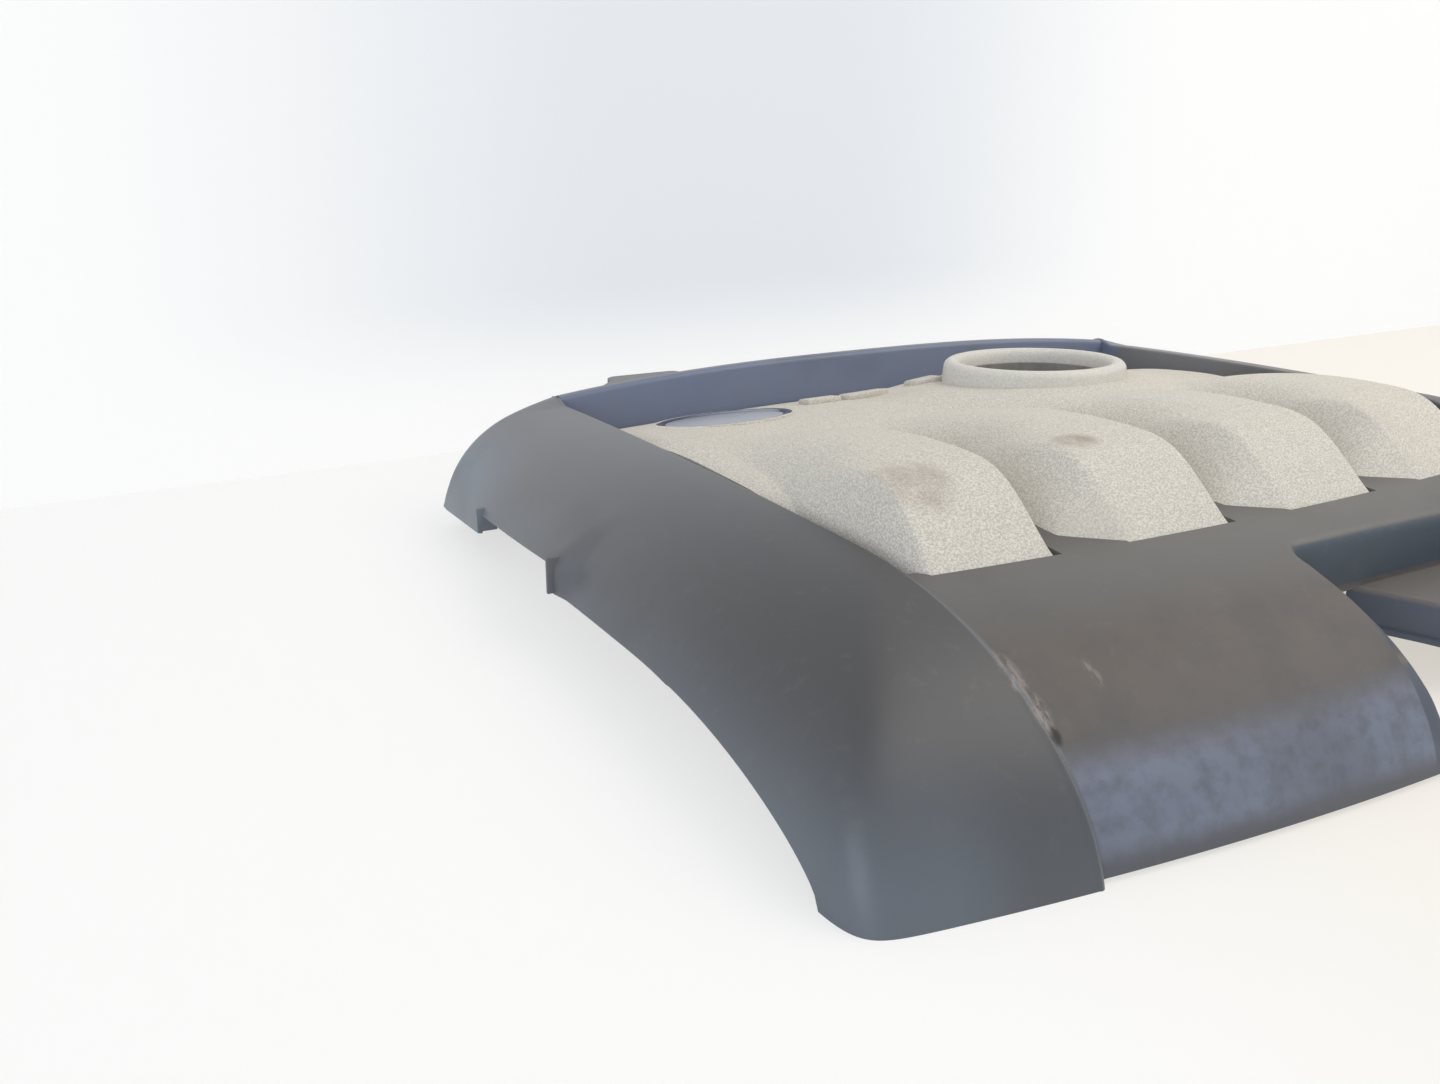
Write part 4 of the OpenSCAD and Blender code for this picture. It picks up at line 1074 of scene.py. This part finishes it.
def sleeve_place(angle, point):
    r, h = point
    at_joint = round(angle / (2 * math.pi) * SLEEVE_COUNT) % JOINTS == 0
    if r < FILLER_R - 0.7 and at_joint:
        r += JOINT_DEPTH
    return at_filler(r * math.cos(angle), r * math.sin(angle), h)


sleeve_profile = [(-1.4, sleeve_low + 0.4), (-1.4, -9), (-0.9, -8.6), (-0.4, -8.8), (-0.4, collar_low - 0.3),
                  (2.5, collar_low - 0.3), (2.5, flange_top), (8.5, flange_top), (8.5, flange_low),
                  (2.5, flange_low), (2.5, sleeve_low), (0, sleeve_low), (-1.4, sleeve_low + 0.4)]
sleeve_profile = [(FILLER_R + out, h) for out, h in sleeve_profile]
sleeve, _ = sheet("sleeve_ring", spread(0, 2 * math.pi, SLEEVE_COUNT), sleeve_profile, sleeve_place)
merge(sleeve, 0.000005)
edit(sleeve)
bpy.ops.mesh.normals_make_consistent(inside=False)
done()
soften(sleeve, 25)
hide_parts("filler_sleeve")
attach(sleeve, "root")

sleeve_paint = Paint("sleeve_plastic", (0.22, 0.21, 0.2), 0.55)
sleeve_paint.into("Base Color", sleeve_paint.shades(grey(0.19, 0.07), grey(0.26, 0.08),
                                                    sleeve_paint.noise(60, 3).between(0.3, 0.7)))
wear(sleeve, sleeve_paint)

# Blank disc: a plain bright plated disc with a narrow raised edge, sunk in its round seat.
disc_profile = [(0.001, 2.2), (20, 2.05), (DISC_R - 4.4, 1.6), (DISC_R - 3.8, 1.62), (DISC_R - 3.0, 2.0),
                (DISC_R - 2.2, 2.4), (DISC_R - 1.3, 2.6), (DISC_R - 0.5, 2.45), (DISC_R, 2.0), (DISC_R, 0.05),
                (3, 0.02), (2, 0), (2, -4.4), (0.001, -4.5)]
disc_profile = [(r, h - DISC_SINK) for r, h in disc_profile]
disc = turned("bright_disc", disc_profile, at_disc, 128)
soften(disc, 45)
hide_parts("blank_disc")
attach(disc, "root")

disc_paint = Paint("disc_metal", (0.55, 0.56, 0.6), 0.25, 1.0)
away = disc_paint.node("ShaderNodeVectorMath", {"operation": "SUBTRACT"},
                       {0: disc_paint.place, 1: tuple(DISC / 1000)})
away = disc_paint.node("ShaderNodeVectorMath", {"operation": "LENGTH"}, {0: away}, "Value")
edge = away.between(0.0345, 0.0365)
disc_paint.into("Roughness", edge * -0.36 + 0.42 + disc_paint.noise(40, 4, 0.6) * 0.04)
disc_paint.into("Base Color", disc_paint.shades((0.6, 0.61, 0.65), (0.35, 0.38, 0.45), edge))
wear(disc, disc_paint)

# Spring nuts, grommets and foam: they stay on the underside. Zinc plated spring nuts hold
# the insert's pins, rubber grommets take the engine's studs, and a foam pad damps noise.
FOAM_HALF, FOAM_CROWN, FOAM_GAP = 149.0, 0.6, 1.6
foam_rows = spread(toe_line(0) + 61, INSERT_REAR_Y - 25, 30)


def foam_place(x, y):
    deep = (y - foam_rows[0]) / (foam_rows[-1] - foam_rows[0])
    crown = FOAM_CROWN * math.sin(math.pi * (x + FOAM_HALF) / (2 * FOAM_HALF)) * math.sin(math.pi * deep)
    return x, y, deck_at(x, y) - INSERT_WALL - FOAM_GAP + crown


foam, _ = sheet("foam_slab", spread(-FOAM_HALF, FOAM_HALF, 40), foam_rows, foam_place)
modify(foam, "SOLIDIFY", thickness=0.0105, offset=-1, use_even_offset=False)
cut_with(foam, plug("foam_hole", FILLER_R + COLLAR_RIM + 6, -80, 40, at_filler))
cut_with(foam, plug("foam_disc_hole", DISC_R + 6, -60, 40, at_disc))
modify(foam, "BEVEL", width=0.0015, segments=2, limit_method="ANGLE", angle_limit=math.radians(50))
soften(foam, 60)
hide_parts("foam_pad")
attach(foam, "root")

foam_paint = Paint("foam", (0.05, 0.05, 0.052), 0.95)
pores = foam_paint.cells(700)
foam_paint.into("Base Color", foam_paint.shades(grey(0.02), grey(0.075), pores.between(0.1, 0.6)))
foam_paint.into("Normal", foam_paint.bump(pores, 0.8, 0.001))
wear(foam, foam_paint)

# Spring nuts: zinc plated clips
steel_paint = Paint("spring_steel", (0.55, 0.56, 0.57), 0.35, 1.0)
steel_paint.into("Roughness", steel_paint.noise(200, 3) * 0.2 + 0.25)
wear(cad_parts["push_nuts"], steel_paint)

# Grommets: soft black rubber
rubber_paint = Paint("grommet_rubber", (0.025, 0.025, 0.026), 0.7)
rubber_paint.into("Base Color", rubber_paint.shades(grey(0.018), grey(0.04, 0.04),
                                                    rubber_paint.noise(90, 3).between(0.4, 0.75)))
for corner in ("front_left", "front_right", "rear_left", "rear_right"):
    wear(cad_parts["grommet_" + corner], rubber_paint)

# Floor and wall: a white painted bench and a white wall behind it, which a look from behind sees through. Each
# holds a patch of painted shade.
bpy.ops.object.select_all(action="DESELECT")
bpy.ops.mesh.primitive_plane_add(size=12)
floor = bpy.context.object
floor.name = "floor"
bpy.ops.mesh.primitive_plane_add(size=12)
wall = bpy.context.object
wall.name = "wall"
wall_turn = Matrix.Rotation(math.atan(0.024), 4, "Z") @ Matrix.Rotation(math.radians(90), 4, "X")
wall.data.transform(Matrix.Translation((0.2, 0.356, 0)) @ wall_turn)
for piece, colour, shade_colour, lift in ((floor, (0.9, 0.89, 0.87), (0.93, 0.88, 0.8), 0.66),
                                  (wall, (0.86, 0.87, 0.87), (0.77, 0.81, 0.86), 0.8)):
    paint = Paint(piece.name + "_white", colour, 0.9)
    across, along, height = paint.axes()
    ray = paint.node("ShaderNodeLightPath").socket.node.outputs
    seen = Wire(paint, ray["Is Camera Ray"]).larger(Wire(paint, ray["Is Glossy Ray"]))
    seen = seen.larger(Wire(paint, ray["Is Transmission Ray"]))
    # Painted shade: a dimmer warm patch on the floor's right, and a dimmer grey-blue band in the middle of the
    # wall
    if piece == floor:
        shaded_patch = along.between(-0.7, -0.35) * across.between(-0.28, 0.02)
    else:
        shaded_patch = across.between(-0.5, -0.1) * across.between(0.45, 0.05) * height.between(0.03, 0.12)
    glow = paint.node("ShaderNodeEmission", None, {0: paint.shades((1, 1, 0.995), shade_colour, shaded_patch), 1: 1.0})
    plain = Wire(paint, paint.shader.outputs[0])
    front = paint.node("ShaderNodeMixShader", None, {0: seen * lift, 1: plain, 2: glow})
    behind = Wire(paint, paint.node("ShaderNodeNewGeometry").socket.node.outputs["Backfacing"])
    clear = paint.node("ShaderNodeBsdfTransparent")
    both = paint.node("ShaderNodeMixShader", None, {0: behind, 1: front, 2: clear})
    paint.tree.links.new(both.socket, paint.tree.nodes["Material Output"].inputs["Surface"])
    wear(piece, paint)

# Light: a pale sky all round, a warm lamp high on the right and a cool window on the left
world = bpy.data.worlds.new("world")
bpy.context.scene.world = world
world.use_nodes = True
world.node_tree.nodes["Background"].inputs[0].default_value = (0.93, 0.96, 1, 1)
world.node_tree.nodes["Background"].inputs[1].default_value = 0.5


def lamp(name, place, aim, size, energy, colour):
    light = bpy.data.objects.new(name, bpy.data.lights.new(name, "AREA"))
    bpy.context.collection.objects.link(light)
    light.data.size = size
    light.data.energy = energy
    light.data.color = colour
    place = Vector(place)
    turn = (place - Vector(aim)).to_track_quat("Z", "Y").to_matrix().to_4x4()
    light.matrix_world = Matrix.Translation(place) @ turn


lamp("key", (0.9, -0.5, 1.3), (0, 0, 0), 1.2, 14.5, (1, 0.94, 0.86))
lamp("window", (-1.7, -1.4, 0.6), (0, 0, 0.05), 1.6, 21, (0.84, 0.9, 1))
bpy.context.scene.view_settings.view_transform = "Standard"
